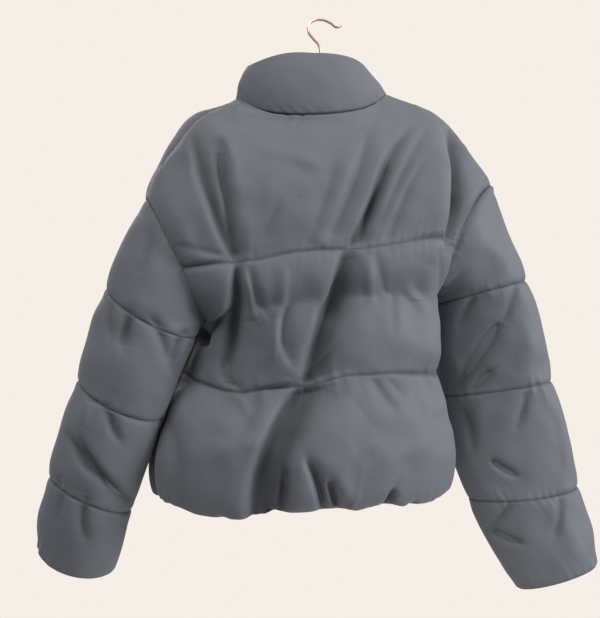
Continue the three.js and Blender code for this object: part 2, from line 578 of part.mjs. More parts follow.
// One tape of the zip, a thin band just behind the front edge, from the hem to the top of the collar.
function zipTape(hand) {
  const bands = [
    ...bodyRows.map((v) => [(s) => body(-1, s, v), bodyNormal(-1, MIDDLE, v)]),
    ...eased(COLLAR_ROWS).slice(1).map((h) => [(s) => collar(-1, s, h), collarNormal(-1, MIDDLE + 1e-3, h)]),
  ];
  const [under, over] = [[[], []], [[], []]];
  for (const [surface, direction] of bands) {
    const middle = surface(MIDDLE);
    const edge = surface(MIDDLE + TAPE_AIM * hand);
    const across = edge.clone().sub(middle).normalize();
    [SEAM_GAP, ZIP.tape].forEach((distance, k) => {
      const point = middle.clone().addScaledVector(across, distance);
      const seat = point.addScaledVector(direction, -ZIP.tapeUnder - ZIP.tapeLean * k);
      over[k].push(seat);
      under[k].push(seat.clone().addScaledVector(direction, -ZIP.tapeThick));
    });
  }
  return wallGeometry(under, over, false);
}

// A solid from a closed mesh, for joins.
function solidFrom(geometry) {
  const plain = geometry.index ? geometry.clone() : geometry;
  plain.deleteAttribute("normal");
  plain.deleteAttribute("uv");
  const merged = mergeVertices(plain, 1e-4);
  return new wasm.Manifold(new wasm.Mesh({
    numProp: 3,
    vertProperties: merged.attributes.position.array,
    triVerts: new Uint32Array(merged.index.array),
  }));
}

function geometryFrom(solid) {
  const mesh = solid.getMesh();
  const geometry = new THREE.BufferGeometry();
  geometry.setAttribute("position", new THREE.BufferAttribute(mesh.vertProperties, 3));
  geometry.setIndex(new THREE.BufferAttribute(mesh.triVerts, 1));
  geometry.computeVertexNormals();
  return geometry;
}

function wireAlong(points, steps, radius = WIRE / 2) {
  const section = new THREE.Shape().absarc(0, 0, radius, 0, 2 * Math.PI, false);
  const path = new THREE.CatmullRomCurve3(points, false, "centripetal");
  const options = { steps, extrudePath: path, curveSegments: 4, bevelEnabled: false };
  return new THREE.ExtrudeGeometry(section, options);
}

function hangerGeometry() {
  const hook = HOOK.map(({ x, z }) => new THREE.Vector3(x, 0, z));
  hook.push(new THREE.Vector3(1.5, 0, HANGER.neckZ - 6));
  const { neckZ, barZ, barSag, y, endBend, reachRight, reachLeft } = HANGER;
  const shoulderZ = (x) => smooth(SHOULDERS, "x", x, "z") - HANGER.shoulderDrop - WIRE;
  const arm = (neck, reach) => HANGER_BENDS.map((share) => {
    const x = lerp(neck, reach, share);
    return new THREE.Vector3(x, y, shoulderZ(x));
  });
  const right = arm(SHOULDERS[4].x, reachRight);
  const left = arm(SHOULDERS[5].x, reachLeft);
  const wire = [
    new THREE.Vector3(-1, 1, neckZ),
    new THREE.Vector3(-34, 2, neckZ - 22),
    ...right,
    new THREE.Vector3(reachRight - 1, y, shoulderZ(reachRight) - endBend),
    new THREE.Vector3(reachRight + endBend, y, barZ),
    new THREE.Vector3(0, y, barZ - barSag),
    new THREE.Vector3(reachLeft - endBend, y, barZ),
    new THREE.Vector3(reachLeft + 1, y, shoulderZ(reachLeft) - endBend),
    ...left.reverse(),
    new THREE.Vector3(38, 2, neckZ - 24),
    new THREE.Vector3(5, 1, neckZ),
  ];
  const twist = new THREE.LatheGeometry(
    TWIST.map(({ radius, z }) => new THREE.Vector2(radius, z)),
    12,
  ).rotateX(QUARTER).translate(2, 0.5, neckZ + 2);
  return geometryFrom(
    solidFrom(wireAlong(hook, 32)).add(solidFrom(wireAlong(wire, 60))).add(solidFrom(twist)),
  );
}

// A flat plate in XZ, with rounded corners and any windows, between two distances out from the zip's line.
function plate(halfWidth, bottom, top, corner, from, to, windows = []) {
  const shape = new THREE.Shape();
  shape.moveTo(-halfWidth + corner, bottom);
  shape.lineTo(halfWidth - corner, bottom);
  shape.absarc(halfWidth - corner, bottom + corner, corner, -QUARTER, 0, false);
  shape.lineTo(halfWidth, top - corner);
  shape.absarc(halfWidth - corner, top - corner, corner, 0, QUARTER, false);
  shape.lineTo(corner - halfWidth, top);
  shape.absarc(corner - halfWidth, top - corner, corner, QUARTER, Math.PI, false);
  shape.lineTo(-halfWidth, bottom + corner);
  shape.absarc(corner - halfWidth, bottom + corner, corner, Math.PI, 3 * QUARTER, false);
  for (const [half, low, high] of windows) {
    shape.holes.push(new THREE.Path([[-half, low], [-half, high], [half, high], [half, low]].map(
      ([x, z]) => new THREE.Vector2(x, z),
    )));
  }
  const made = new THREE.ExtrudeGeometry(shape, { depth: to - from, curveSegments: 3, bevelEnabled: false });
  return made.rotateX(QUARTER).translate(0, -from, 0);
}

function sliderGeometry() {
  const halfHeight = SLIDER.height / 2;
  const { plateIn, plateOut, neckIn, joint } = SLIDER;
  const face = plate(SLIDER.width / 2, -halfHeight, halfHeight, SLIDER.corner, plateIn, plateOut);
  const neckHalf = SLIDER.neck / 2;
  const neck = plate(neckHalf, 1 - halfHeight, halfHeight - 1, joint, neckIn, plateIn + joint);
  const { out: bridgeOut, half, cut } = BRIDGE;
  const outline = [
    [plateOut - joint, -half], [bridgeOut - cut, -half], [bridgeOut, cut - half], [bridgeOut, half - cut],
    [bridgeOut - cut, half], [plateOut - joint, half],
  ];
  const bridge = new THREE.Shape(outline.map(([out, z]) => new THREE.Vector2(out, z)));
  const { half: halfHole, from, to } = BRIDGE_HOLE;
  const hole = [[from, -halfHole], [from, halfHole], [to, halfHole], [to, -halfHole]];
  bridge.holes.push(new THREE.Path(hole.map(([out, z]) => new THREE.Vector2(out, z))));
  const loop = new THREE.ExtrudeGeometry(bridge, { depth: BRIDGE.width, bevelEnabled: false });
  loop.rotateX(QUARTER).rotateZ(-QUARTER).translate(BRIDGE.width / 2, 0, 0);
  return geometryFrom(solidFrom(face).add(solidFrom(neck)).add(solidFrom(loop)));
}

function pullGeometry() {
  const [from, to] = [PULL.out - PULL.thick / 2, PULL.out + PULL.thick / 2];
  const window = [PULL.window / 2, -PULL.windowEnd, -PULL.bar + PULL.above];
  return plate(PULL.width / 2, PULL.above - PULL.length, PULL.above, PULL.corner, from, to, [window]);
}

// Places the slider and its pull on the zip's line, leaning with the front of the collar.
function placeOnZip(piece) {
  const [low, high] = [collar(-1, MIDDLE, ZIP.sliderAt - 0.1), collar(-1, MIDDLE, ZIP.sliderAt + 0.1)];
  piece.position.copy(collar(-1, MIDDLE, ZIP.sliderAt));
  piece.rotation.x = Math.atan2(high.z - low.z, high.y - low.y) - QUARTER;
  return piece;
}

function mesh(name, geometry, look) {
  const made = new THREE.Mesh(geometry, new THREE.MeshStandardMaterial(COLOURS[look]));
  made.name = name;
  return made;
}

const jacket = new THREE.Group();
for (const name of Object.keys(PANELS)) jacket.add(mesh(name, bodyPanel(name), "shell"));
for (const arm of Object.keys(ARMHOLES)) jacket.add(mesh("sleeve_" + arm, sleeveTube(arm), "shell"));
jacket.add(mesh("collar", collarBand(), "shell"));
jacket.add(mesh("zip_tape_right", zipTape(-1), "tape"), mesh("zip_tape_left", zipTape(1), "tape"));
jacket.add(placeOnZip(mesh("zip_slider", sliderGeometry(), "metal")));
jacket.add(placeOnZip(mesh("zip_pull", pullGeometry(), "metal")));
jacket.add(mesh("hanger", hangerGeometry(), "wire"));

export default jacket;
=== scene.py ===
"""A padded puffer jacket on a wire hanger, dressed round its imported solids.

Lengths in the tables are millimetres in the garment's own frame: +Z up, +Y towards the jacket's back, +X towards the
wearer's left. Meshes are in metres.
"""
import math

import bpy
import numpy as np
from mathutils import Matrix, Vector


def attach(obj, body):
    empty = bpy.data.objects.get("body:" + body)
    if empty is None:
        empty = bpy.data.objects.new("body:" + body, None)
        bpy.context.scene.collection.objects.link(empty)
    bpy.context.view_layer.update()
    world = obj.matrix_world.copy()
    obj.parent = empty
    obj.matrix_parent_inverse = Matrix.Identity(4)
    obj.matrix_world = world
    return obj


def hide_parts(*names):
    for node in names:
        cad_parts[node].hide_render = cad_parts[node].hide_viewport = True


bl_info = {
    "name": "Puffer jacket",
    "version": (1, 0, 0),
    "blender": (4, 5, 0),
    "location": "3D View > Sidebar > Jacket",
    "description": "Builds a padded puffer jacket on its wire hanger round the packed solids",
    "category": "Add Mesh",
}

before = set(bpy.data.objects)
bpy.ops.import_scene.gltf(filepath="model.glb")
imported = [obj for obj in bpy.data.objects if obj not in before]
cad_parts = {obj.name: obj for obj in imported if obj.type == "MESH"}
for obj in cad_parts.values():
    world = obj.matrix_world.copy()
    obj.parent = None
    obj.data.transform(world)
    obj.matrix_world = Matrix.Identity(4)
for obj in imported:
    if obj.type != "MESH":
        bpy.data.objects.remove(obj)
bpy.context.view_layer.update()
MM = 0.001

# The garment's form.


def table(names, *rows):
    """Rows of numbers as named columns."""
    return dict(zip(names.split(), np.array(rows, float).T))


CLOTH = 3.0  # wall at a seam
TRIM = 0.25  # each piece ends this far from its seam line
ZIP_HALF_GAP = 3.5
NECK_RIGHT, MIDDLE, NECK_LEFT = 0.38, 0.5, 0.66  # places across the body, from the right armhole to the left
ARMPIT_V, UPPER_SEAM_V, TOP_V = 1.5, 2.0, 3.0  # levels, counted in quilting channels from the hem
BODY_PIT_ROUND, SLEEVE_PIT_ROUND, PIT_REACH, NECK_REACH = 0, 4, 120, 100
OVER_FROM = 0.7
# Rough heights of a quilting channel of the body, of one of a sleeve and of the collar, which turn levels into lengths.
BODY_CHANNEL, SLEEVE_CHANNEL, COLLAR_TALL = 200, 145, 85
NOTCH = {"body": 3.2, "sleeve": 2.4}  # how far the padding steps down at a sewn line
SWELL = 0.7  # under 1 is a fuller channel
FINER = 4  # each face of the simulated cloth is split this many times each way

BODY = table(
    "v xRight zRight xLeft zLeft yRight yLeft back front sag over",
    (0.0, -180, -698, 230, -700, 2, 26, 80, 92, -16, 14),
    (0.3, -184, -652, 232, -652, 6, 28, 96, 116, -12, 14),
    (0.65, -174, -588, 217, -588, 10, 18, 98, 114, -12, 12),
    (1.0, -166, -525, 200, -527, 14, -6, 92, 100, -13, 16),
    (1.25, -164, -466, 181, -484, 12, -2, 90, 100, -12, 14),
    (1.5, -167, -402, 175, -437, -8, 10, 88, 96, -22, 0),
    (1.75, -175, -360, 190, -402, -9.5, 11, 75, 82, -12.5, 0),
    (2.0, -184, -322, 208, -370, -8, 10, 46, 52, 0, 0),
)
SHOULDER_RIGHT = table(
    "s x y z turn turnFront",
    (0.0, -262, -8, -242, 90, 90),
    (0.13, -240, -6, -213, 88, 92),
    (0.24, -195, -2, -160, 86, 94),
    (0.3, -157, 2, -135, 84, 94),
    (0.38, -98, 8, -114, 78, 82),
)
SHOULDER_LEFT = table(
    "s x y z turn turnFront",
    (0.66, 126, 10, -127, 78, 82),
    (0.75, 179, 30, -160, 74, 103),
    (0.82, 210, 28, -197, 76, 103),
    (0.9, 238, 18, -240, 84, 97),
    (1.0, 255, 10, -274, 90, 90),
)
NECKLINE = {
    1: table(
        "s x y z turn turnFront",
        (0.38, -98, 8, -114, 78, 78),
        (0.44, -48, 45, -141, 64, 64),
        (0.5, 14, 58, -152, 60, 60),
        (0.58, 78, 46, -150, 64, 64),
        (0.66, 126, 10, -127, 78, 78),
    ),
    -1: table(
        "s x y z turn turnFront",
        (0.38, -98, 8, -114, 82, 82),
        (0.44, -48, -46, -152, 68, 68),
        (0.5, 14, -62, -172, 62, 62),
        (0.58, 78, -48, -160, 68, 68),
        (0.66, 126, 10, -127, 82, 82),
    ),
}
ARMHOLES = {
    "left": {
        "s": 1, "top": (255, -274), "pit": (175, -437), "y": 10, "back": 60, "front": 60, "bow": 5.6, "seam": -10,
    },
    "right": {
        "s": 0, "top": (-262, -242), "pit": (-167, -402), "y": -8, "back": 50, "front": 60, "bow": 64.4, "seam": 0,
    },
}
SLEEVES = {
    "left": table(
        "v xOuter zOuter xInner zInner y depth tip dip",
        (0, 255, -274, 175, -437, 10, 120, 0, 0),
        (1, 312, -405, 192, -466, 12, 122, 16, 20),
        (2, 352, -536, 240, -582, 14, 116, 16, 18),
        (3, 392, -674, 286, -720, 8, 108, 6, 8),
        (4, 410, -780, 309, -804, 2, 70, 0, 20),
    ),
    "right": table(
        "v xOuter zOuter xInner zInner y depth tip dip",
        (0, -262, -242, -167, -402, -8, 110, 0, 0),
        (0.5, -284, -318, -174, -407, -11, 108, -17, -2.5),
        (1, -317, -390, -182, -427, -14, 104, -30, -4),
        (2, -362, -545, -205, -568, -22, 84, -28, 0),
        (3, -406, -710, -243, -725, -24, 66, -10, 8),
        (4, -437, -834, -318, -865, -20, 54, 0, 3),
    ),
}
OUTWARDS = {"left": 1, "right": -1}
COLLAR_TOP = {
    "x": 19, "y": -2, "halfWidth": 87, "halfDepth": 52,
    "back": -60, "front": -84, "left": -77, "right": -92, "droop": 3,
}
NECK_RING = {"x": 14, "y": -2, "halfWidth": 112, "halfDepth": 60}

# Folds as lines seen square from the back or the front: start, middle and end in X and Z, height (below zero for a
# trough), and its width towards the wearer's left and right.
FOLD_COLUMNS = "x0 z0 x1 z1 x2 z2 height left right"
FOLDS = {
    "back": table(
        FOLD_COLUMNS,
        (-123, -170, -73, -244, -40, -346, -10, 5, 9),
        (-86, -228, -51, -296, -21, -350, -9, 3.5, 8),
        (-147, -170, -104, -240, -69, -310, -7, 5, 9),
        (-135, -223, -104, -278, -77, -340, -6, 5, 8),
        (-58, -180, -28, -264, 2, -330, -7, 7, 14),
        (-11, -206, 8, -276, 35, -345, -5, 12, 18),
        (-35, -200, 0, -286, 24, -345, 3, 8, 8),
        (188, -193, 170, -286, 136, -366, -11, 4, 12),
        (156, -218, 152, -265, 136, -362, -9, 4, 10),
        (167, -197, 143, -209, 138, -266, 4, 7, 8),
        (158, -169, 79, -162, -17, -163, -3, 6, 6),
        (107, -205, 42, -222, 21, -241, 2.5, 10, 10),
        (73, -277, 91, -317, 110, -338, -3, 7, 7),
        (212, -342, 169, -353, 137, -363, -3, 5, 5),
        (-166, -172, -168, -259, -158, -346, 9, 26, 6),
        (-194, -168, -186, -257, -173, -340, -19, 8, 17),
        (-152, -364, -150, -448, -152, -513, 8, 24, 6),
        (-20, -348, 10, -439, 38, -533, -20, 6, 24),
        (-5, -358, 27, -442, 52, -528, 6, 30, 8),
        (137, -362, 133, -433, 142, -512, -17, 5, 8),
        (152, -380, 150, -440, 158, -500, 5, 14, 7),
        (141, -424, 157, -451, 170, -486, -13, 4, 7),
        (184, -452, 174, -470, 169, -488, -12, 5, 5),
        (191, -486, 193, -524, 195, -545, -3, 5, 5),
        (129, -376, 107, -424, 91, -453, 5, 7, 5),
        (70, -376, 73, -454, 83, -503, 5, 8, 5),
        (62, -425, 65, -469, 57, -506, -7, 4, 6),
        (118, -372, 108, -410, 96, -450, -6, 4, 7),
        (142, -507, 141, -533, 123, -547, -5, 5, 6),
        (-46, -357, -52, -389, -55, -426, 3, 6, 6),
        (-86, -391, -87, -433, -85, -469, -3, 7, 7),
        (-108, -388, -125, -423, -144, -448, 4, 8, 7),
        (-63, -354, -70, -384, -80, -408, -3, 5, 6),
        (30, -524, 92, -622, 112, -722, -22, 6, 34),
        (50, -538, 112, -622, 134, -698, 5, 30, 9),
        (-27, -567, 34, -623, 69, -671, 8, 14, 30),
        (42, -640, 24, -674, 12, -714, -15, 4, 7),
        (12, -664, 3, -683, -6, -708, -15, 3, 6),
        (69, -650, 72, -682, 83, -720, -14, 4, 6),
        (98, -686, 86, -705, 78, -722, -11, 3, 5),
        (-83, -674, -76, -693, -72, -716, -14, 3, 6),
        (-118, -690, -112, -702, -108, -720, -7, 4, 6),
        (150, -696, 152, -710, 150, -726, -6, 4, 7),
        (-53, -523, -68, -550, -87, -577, -4, 7, 7),
        (-80, -530, -90, -544, -104, -559, -3, 6, 6),
        (107, -540, 112, -575, 130, -613, -3, 10, 10),
        (133, -548, 123, -566, 116, -587, 3, 6, 6),
        (218, -583, 205, -634, 200, -698, -4, 7, 9),
    ),
    "front": table(
        FOLD_COLUMNS,
        (110, -190, 96, -280, 90, -345, -9, 7, 14),
        (140, -205, 128, -262, 112, -340, -4, 9, 9),
        (60, -215, 66, -270, 58, -335, -3, 9, 8),
        (-104, -180, -88, -262, -96, -330, -9, 14, 7),
        (-140, -190, -126, -250, -118, -316, -4, 9, 9),
        (-48, -214, -56, -262, -46, -322, -3, 9, 9),
        (132, -362, 112, -440, 124, -520, -12, 6, 16),
        (70, -376, 62, -440, 72, -505, -4, 8, 8),
        (160, -400, 150, -440, 156, -500, -5, 5, 8),
        (-92, -350, -70, -440, -88, -515, -12, 16, 6),
        (-36, -380, -44, -430, -34, -490, -4, 8, 8),
        (-130, -380, -120, -430, -132, -495, -4, 7, 7),
        (140, -560, 126, -620, 134, -705, -12, 6, 18),
        (70, -640, 62, -676, 66, -712, -8, 5, 6),
        (186, -650, 178, -680, 180, -706, -7, 5, 5),
        (-84, -555, -64, -622, -76, -705, -12, 18, 6),
        (-120, -655, -124, -682, -118, -708, -7, 5, 5),
        (-30, -650, -34, -680, -28, -710, -7, 6, 5),
    ),
    "sleeve_left": table(
        FOLD_COLUMNS,
        (303, -408, 307, -440, 305, -472, -4, 5, 7),
        (279, -433, 285, -458, 290, -486, -5, 5, 8),
        (254, -445, 240, -469, 233, -504, -4, 6, 8),
        (347, -612, 324, -657, 286, -702, -6, 7, 5),
        (366, -604, 351, -630, 332, -659, -4, 5, 5),
        (313, -565, 307, -588, 296, -616, -4, 5, 6),
        (334, -558, 337, -575, 342, -597, 3, 6, 6),
        (378, -667, 376, -697, 381, -732, -3, 6, 6),
        (340, -692, 346, -720, 343, -755, -4, 6, 6),
        (248, -314, 254, -349, 268, -384, -2.5, 9, 9),
        (204, -462, 218, -483, 226, -522, -4, 5, 6),
    ),
    "sleeve_right": table(
        FOLD_COLUMNS,
        (-270, -452, -246, -496, -216, -556, -6, 7, 9),
        (-262, -524, -250, -542, -236, -562, -4, 5, 6),
        (-294, -393, -287, -418, -276, -451, -3, 6, 7),
        (-237, -403, -228, -426, -216, -456, -3, 6, 6),
        (-267, -663, -282, -676, -304, -688, -5, 4, 5),
        (-226, -585, -239, -616, -242, -654, -4, 7, 7),
        (-315, -558, -312, -585, -300, -618, -3, 6, 6),
        (-270, -769, -289, -783, -314, -792, -5, 4, 5),
        (-295, -727, -284, -748, -268, -767, -3, 5, 6),
        (-367, -716, -370, -747, -360, -785, -3, 6, 7),
        (-223, -256, -203, -308, -182, -362, -4, 8, 9),
    ),
}
# How far the two quilting lines wander up or down across the back.
SEAM_DRIFT = {
    1: table(
        "x z",
        (-180, 0), (-125, 7), (-86, 12), (-20, 12), (15, 3), (96, -9), (123, -15), (150, -14), (188, -5), (205, 0),
    ),
    2: table(
        "x z",
        (-200, 6), (-164, 12), (-105, 7), (-50, 3), (-10, 4), (29, 6), (57, 6), (104, 0), (200, 0),
    ),
}
# How much higher or lower than its ring the collar's upper edge stands across the back.
COLLAR_EDGE = table(
    "x z",
    (-80, 0), (-65, 3), (-52, 5), (-40, 4), (-20, 0), (0, -2), (20, -3), (52, -1), (93, 0),
)
# The lowest line of the gathered hem as it hangs, across the back and across the front.
HEM_LINE = {
    1: table(
        "x z",
        (-200, -702), (-171, -704), (-144, -714), (-100, -714), (-75, -706), (-49, -709), (-30, -713), (-6, -704),
        (30, -711), (73, -716), (108, -724), (143, -724), (185, -720), (227, -704), (260, -690),
    ),
    -1: table(
        "x z",
        (-200, -702), (-160, -710), (-122, -706), (-96, -715), (-60, -718), (-32, -709), (0, -716), (32, -717),
        (64, -710), (96, -719), (134, -712), (160, -718), (182, -708), (215, -712), (260, -692),
    ),
}


def lerp(a, b, t):
    return a + (b - a) * t


def smooth(rows, key, at, column):
    """The value of a column at a place between rows, on a smooth curve through them all."""
    keys, values = rows[key], rows[column]
    at = np.asarray(at, float)
    k = np.searchsorted(keys[1:-1], at, side="left")
    order = np.arange(len(keys))
    before, after = np.maximum(order - 1, 0), np.minimum(order + 1, len(keys) - 1)
    slopes = (values[after] - values[before]) / (keys[after] - keys[before])
    step = keys[k + 1] - keys[k]
    u = (at - keys[k]) / step
    a, b, da, db = values[k], values[k + 1], slopes[k] * step, slopes[k + 1] * step
    return a + u * (da + u * (3 * (b - a) - 2 * da - db + u * (2 * (a - b) + da + db)))


def stacked(x, y, z):
    return np.stack(np.broadcast_arrays(x, y, z), -1).astype(float)


def armhole_point(arm, angle, side):
    """A point of the armhole, from -90 degrees at the armpit to 90 at the shoulder. side is 1 behind, -1 in front."""
    hole = ARMHOLES[arm]
    rise, out = (1 + np.sin(angle)) / 2, np.cos(angle)
    (x_top, z_top), (x_pit, z_pit) = hole["top"], hole["pit"]
    along = np.array([x_top - x_pit, z_top - z_pit]) / math.hypot(x_top - x_pit, z_top - z_pit)
    bow = np.where(np.asarray(side) > 0, hole["bow"], 0) * out * rise
    depth = np.where(np.asarray(side) > 0, hole["back"], hole["front"])
    return stacked(
        lerp(x_pit, x_top, rise) - OUTWARDS[arm] * abs(along[1]) * bow,
        hole["y"] + side * out * depth,
        lerp(z_pit, z_top, rise) - abs(along[0]) * bow,
    )


def armhole_angle(arm, v):
    seam = ARMHOLES[arm]["seam"]
    low = lerp(-90, seam, (v - ARMPIT_V) / (UPPER_SEAM_V - ARMPIT_V))
    return np.radians(np.where(v <= UPPER_SEAM_V, low, lerp(seam, 90, v - UPPER_SEAM_V)))


def meet_armholes(point, s, v, side, end_at):
    level = np.maximum(v, ARMPIT_V)
    above = np.clip((level - ARMPIT_V) / (UPPER_SEAM_V - ARMPIT_V), 0, 1)
    come_in = lerp(1, above**2 * (3 - 2 * above), 4 * s * (1 - s)) * (v >= ARMPIT_V)
    for arm, share in (("right", 1 - s), ("left", s)):
        end = end_at(np.full_like(s, ARMHOLES[arm]["s"]), level)
        shift = armhole_point(arm, armhole_angle(arm, level), side) - end
        point = point + shift * (share * come_in)[..., None]
    return point


def lower_body(side, s, v):
    def at(place, level):
        def column(name):
            return smooth(BODY, "v", level, name)

        below = np.clip(ARMPIT_V - level, 0, None)
        tuck = np.where(level > 1, BODY_PIT_ROUND * (1 - np.exp(-below / 0.05)) * (level - 1) * 2, 0)
        across, bulge = (1 - np.cos(np.pi * place)) / 2, np.sin(np.pi * place)
        past = np.clip((place - OVER_FROM) / (1 - OVER_FROM), 0, 1)
        over = column("over") * np.sin(np.pi * past) if side < 0 else 0
        depth = column("back" if side > 0 else "front")
        return stacked(
            lerp(column("xRight") + tuck, column("xLeft") - tuck, across) + over,
            lerp(column("yRight"), column("yLeft"), across) + side * depth * bulge,
            lerp(column("zRight"), column("zLeft"), across) + column("sag") * bulge,
        )

    return meet_armholes(at(s, v), s, v, side, at)


def top_line(side, s):
    def column(name, neck_name):
        return np.select(
            [s <= NECK_RIGHT, s >= NECK_LEFT],
            [smooth(SHOULDER_RIGHT, "s", s, name), smooth(SHOULDER_LEFT, "s", s, name)],
            smooth(NECKLINE[side], "s", s, neck_name),
        )

    turn = column("turn" if side > 0 else "turnFront", "turn")
    return stacked(column("x", "x"), column("y", "y"), column("z", "z")), turn


def yoke(side, s, v):
    def at(place, level):
        top, turn = top_line(side, place)
        bottom = lower_body(side, place, np.full_like(place, UPPER_SEAM_V))
        end = np.radians(turn)
        angle = end * (level - UPPER_SEAM_V)
        rise = np.sin(angle) / np.sin(end)
        out = (np.cos(angle) - np.cos(end)) / (1 - np.cos(end))
        return stacked(
            lerp(bottom[..., 0], top[..., 0], rise),
            lerp(top[..., 1], bottom[..., 1], out),
            lerp(bottom[..., 2], top[..., 2], rise),
        )

    return meet_armholes(at(s, v), s, v, side, at)


def body(side, s, v):
    """The inner face of the body's wall, from s = 0 at the right to 1 at the left and v = 0 at the hem to 3."""
    s, v = (a.astype(float) for a in np.broadcast_arrays(s, v))
    low = lower_body(side, s, np.minimum(v, UPPER_SEAM_V))
    high = yoke(side, s, np.maximum(v, UPPER_SEAM_V))
    return np.where((v <= UPPER_SEAM_V)[..., None], low, high)


def sleeve(arm, angle, side, v):
    """The inner face of a sleeve: angle and side give the place round it, v counts its quilting channels."""
    angle, side, v = (np.asarray(a, float) for a in np.broadcast_arrays(angle, side, v))

    def ring(at):
        def column(name):
            return smooth(SLEEVES[arm], "v", at, name)

        rise = (1 + np.sin(angle)) / 2
        come_in = 1 - np.exp(-at / 0.12)
        turn_out = np.where(at < 1, OUTWARDS[arm] * SLEEVE_PIT_ROUND * come_in * (1 - at) * (1 - rise) ** 2, 0)
        return stacked(
            lerp(column("xInner"), column("xOuter"), rise) + turn_out,
            column("y") + column("tip") * (1 - rise) + side * np.cos(angle) * column("depth") / 2,
            lerp(column("zInner"), column("zOuter"), rise) - side * np.cos(angle) * column("dip"),
        )

    shift = armhole_point(arm, angle, side) - ring(np.zeros_like(v))
    return ring(v) + shift * (np.clip(1 - v, 0, None) ** 2)[..., None]


def collar(side, s, h):
    """The inner face of the collar over the neckline: h runs from 0 at the seam to 1 at the top."""
    s, h = (a.astype(float) for a in np.broadcast_arrays(s, h))
    foot = body(side, s, np.full_like(s, TOP_V))
    angle = np.arctan2(
        (foot[..., 1] - NECK_RING["y"]) / NECK_RING["halfDepth"],
        (foot[..., 0] - NECK_RING["x"]) / NECK_RING["halfWidth"],
    )
    out, back = np.cos(angle), np.sin(angle)
    ends = lerp(COLLAR_TOP["front"], COLLAR_TOP["back"], (1 + back) / 2)
    top = stacked(
        COLLAR_TOP["x"] + COLLAR_TOP["halfWidth"] * out,
        COLLAR_TOP["y"] + COLLAR_TOP["halfDepth"] * back,
        lerp(ends, np.where(out > 0, COLLAR_TOP["left"], COLLAR_TOP["right"]), np.abs(out) ** COLLAR_TOP["droop"]),
    )
    return lerp(foot, top, h[..., None])


def unit(vectors):
    return vectors / np.maximum(np.linalg.norm(vectors, axis=-1, keepdims=True), 1e-9)


def normal_of(surface, a, b, a_limits, b_limits, sign):
    """The outward normal of a surface of two numbers, from neighbouring points inside its limits."""
    step = 0.004
    across = surface(np.minimum(a + step, a_limits[1]), b) - surface(np.maximum(a - step, a_limits[0]), b)
    along = surface(a, np.minimum(b + step, b_limits[1])) - surface(a, np.maximum(b - step, b_limits[0]))
    return unit(np.cross(across, along) * np.asarray(sign)[..., None])


def body_normal(side, s, v):
    s, v = (a.astype(float) for a in np.broadcast_arrays(s, v))
    return normal_of(lambda a, b: body(side, a, b), s, v, (0, 1), (0, TOP_V), -side)


def sleeve_normal(arm, angle, side, v):
    angle, side, v = (np.asarray(a, float) for a in np.broadcast_arrays(angle, side, v))
    quarter = np.pi / 2
    return normal_of(
        lambda a, b: sleeve(arm, a, side, b), angle, v, (-quarter, quarter), (0, 4), side * OUTWARDS[arm]
    )


def collar_normal(side, s, h):
    s, h = (a.astype(float) for a in np.broadcast_arrays(s, h))
    low = np.where((side < 0) & (s > MIDDLE), MIDDLE, NECK_RIGHT)
    high = np.where((side < 0) & (s < MIDDLE), MIDDLE, NECK_LEFT)
    return normal_of(lambda a, b: collar(side, a, b), s, h, (low, high), (0, 1), -side)


def body_direction(side, s, v):
    """The way through the body's wall. Pieces that meet at a seam share one direction there."""
    s, v = (a.astype(float) for a in np.broadcast_arrays(s, v))
    way = body_normal(side, s, v)
    other = body_normal(-side, s, v)
    ends = (s < 1e-6) | (s > 1 - 1e-6)
    top = v > TOP_V - 1e-6
    neck = top & (s > NECK_RIGHT - 1e-6) & (s < NECK_LEFT + 1e-6)
    corner = neck & ((np.abs(s - NECK_RIGHT) < 1e-6) | (np.abs(s - NECK_LEFT) < 1e-6))
    way = way + other * ((ends & ((v <= ARMPIT_V) | top)) | (top & (~neck | corner)))[..., None]
    for arm, end in (("right", s < 1e-6), ("left", s > 1 - 1e-6)):
        level = np.maximum(v, ARMPIT_V)
        way = way + sleeve_normal(arm, armhole_angle(arm, level), side, 0) * (end & (v >= ARMPIT_V))[..., None]
    way = way + collar_normal(side, s, 0) * neck[..., None] + collar_normal(-side, s, 0) * corner[..., None]
    return unit(way)


# Padding, folds and puckers.


def swell(q, sharpness):
    return np.clip(np.sin(np.pi * np.clip(q, 0, 1)), 0, 1) ** sharpness


def round_off(distance, reach):
    return np.sqrt(np.clip(1 - (1 - np.minimum(1, distance / reach)) ** 2, 0, 1))


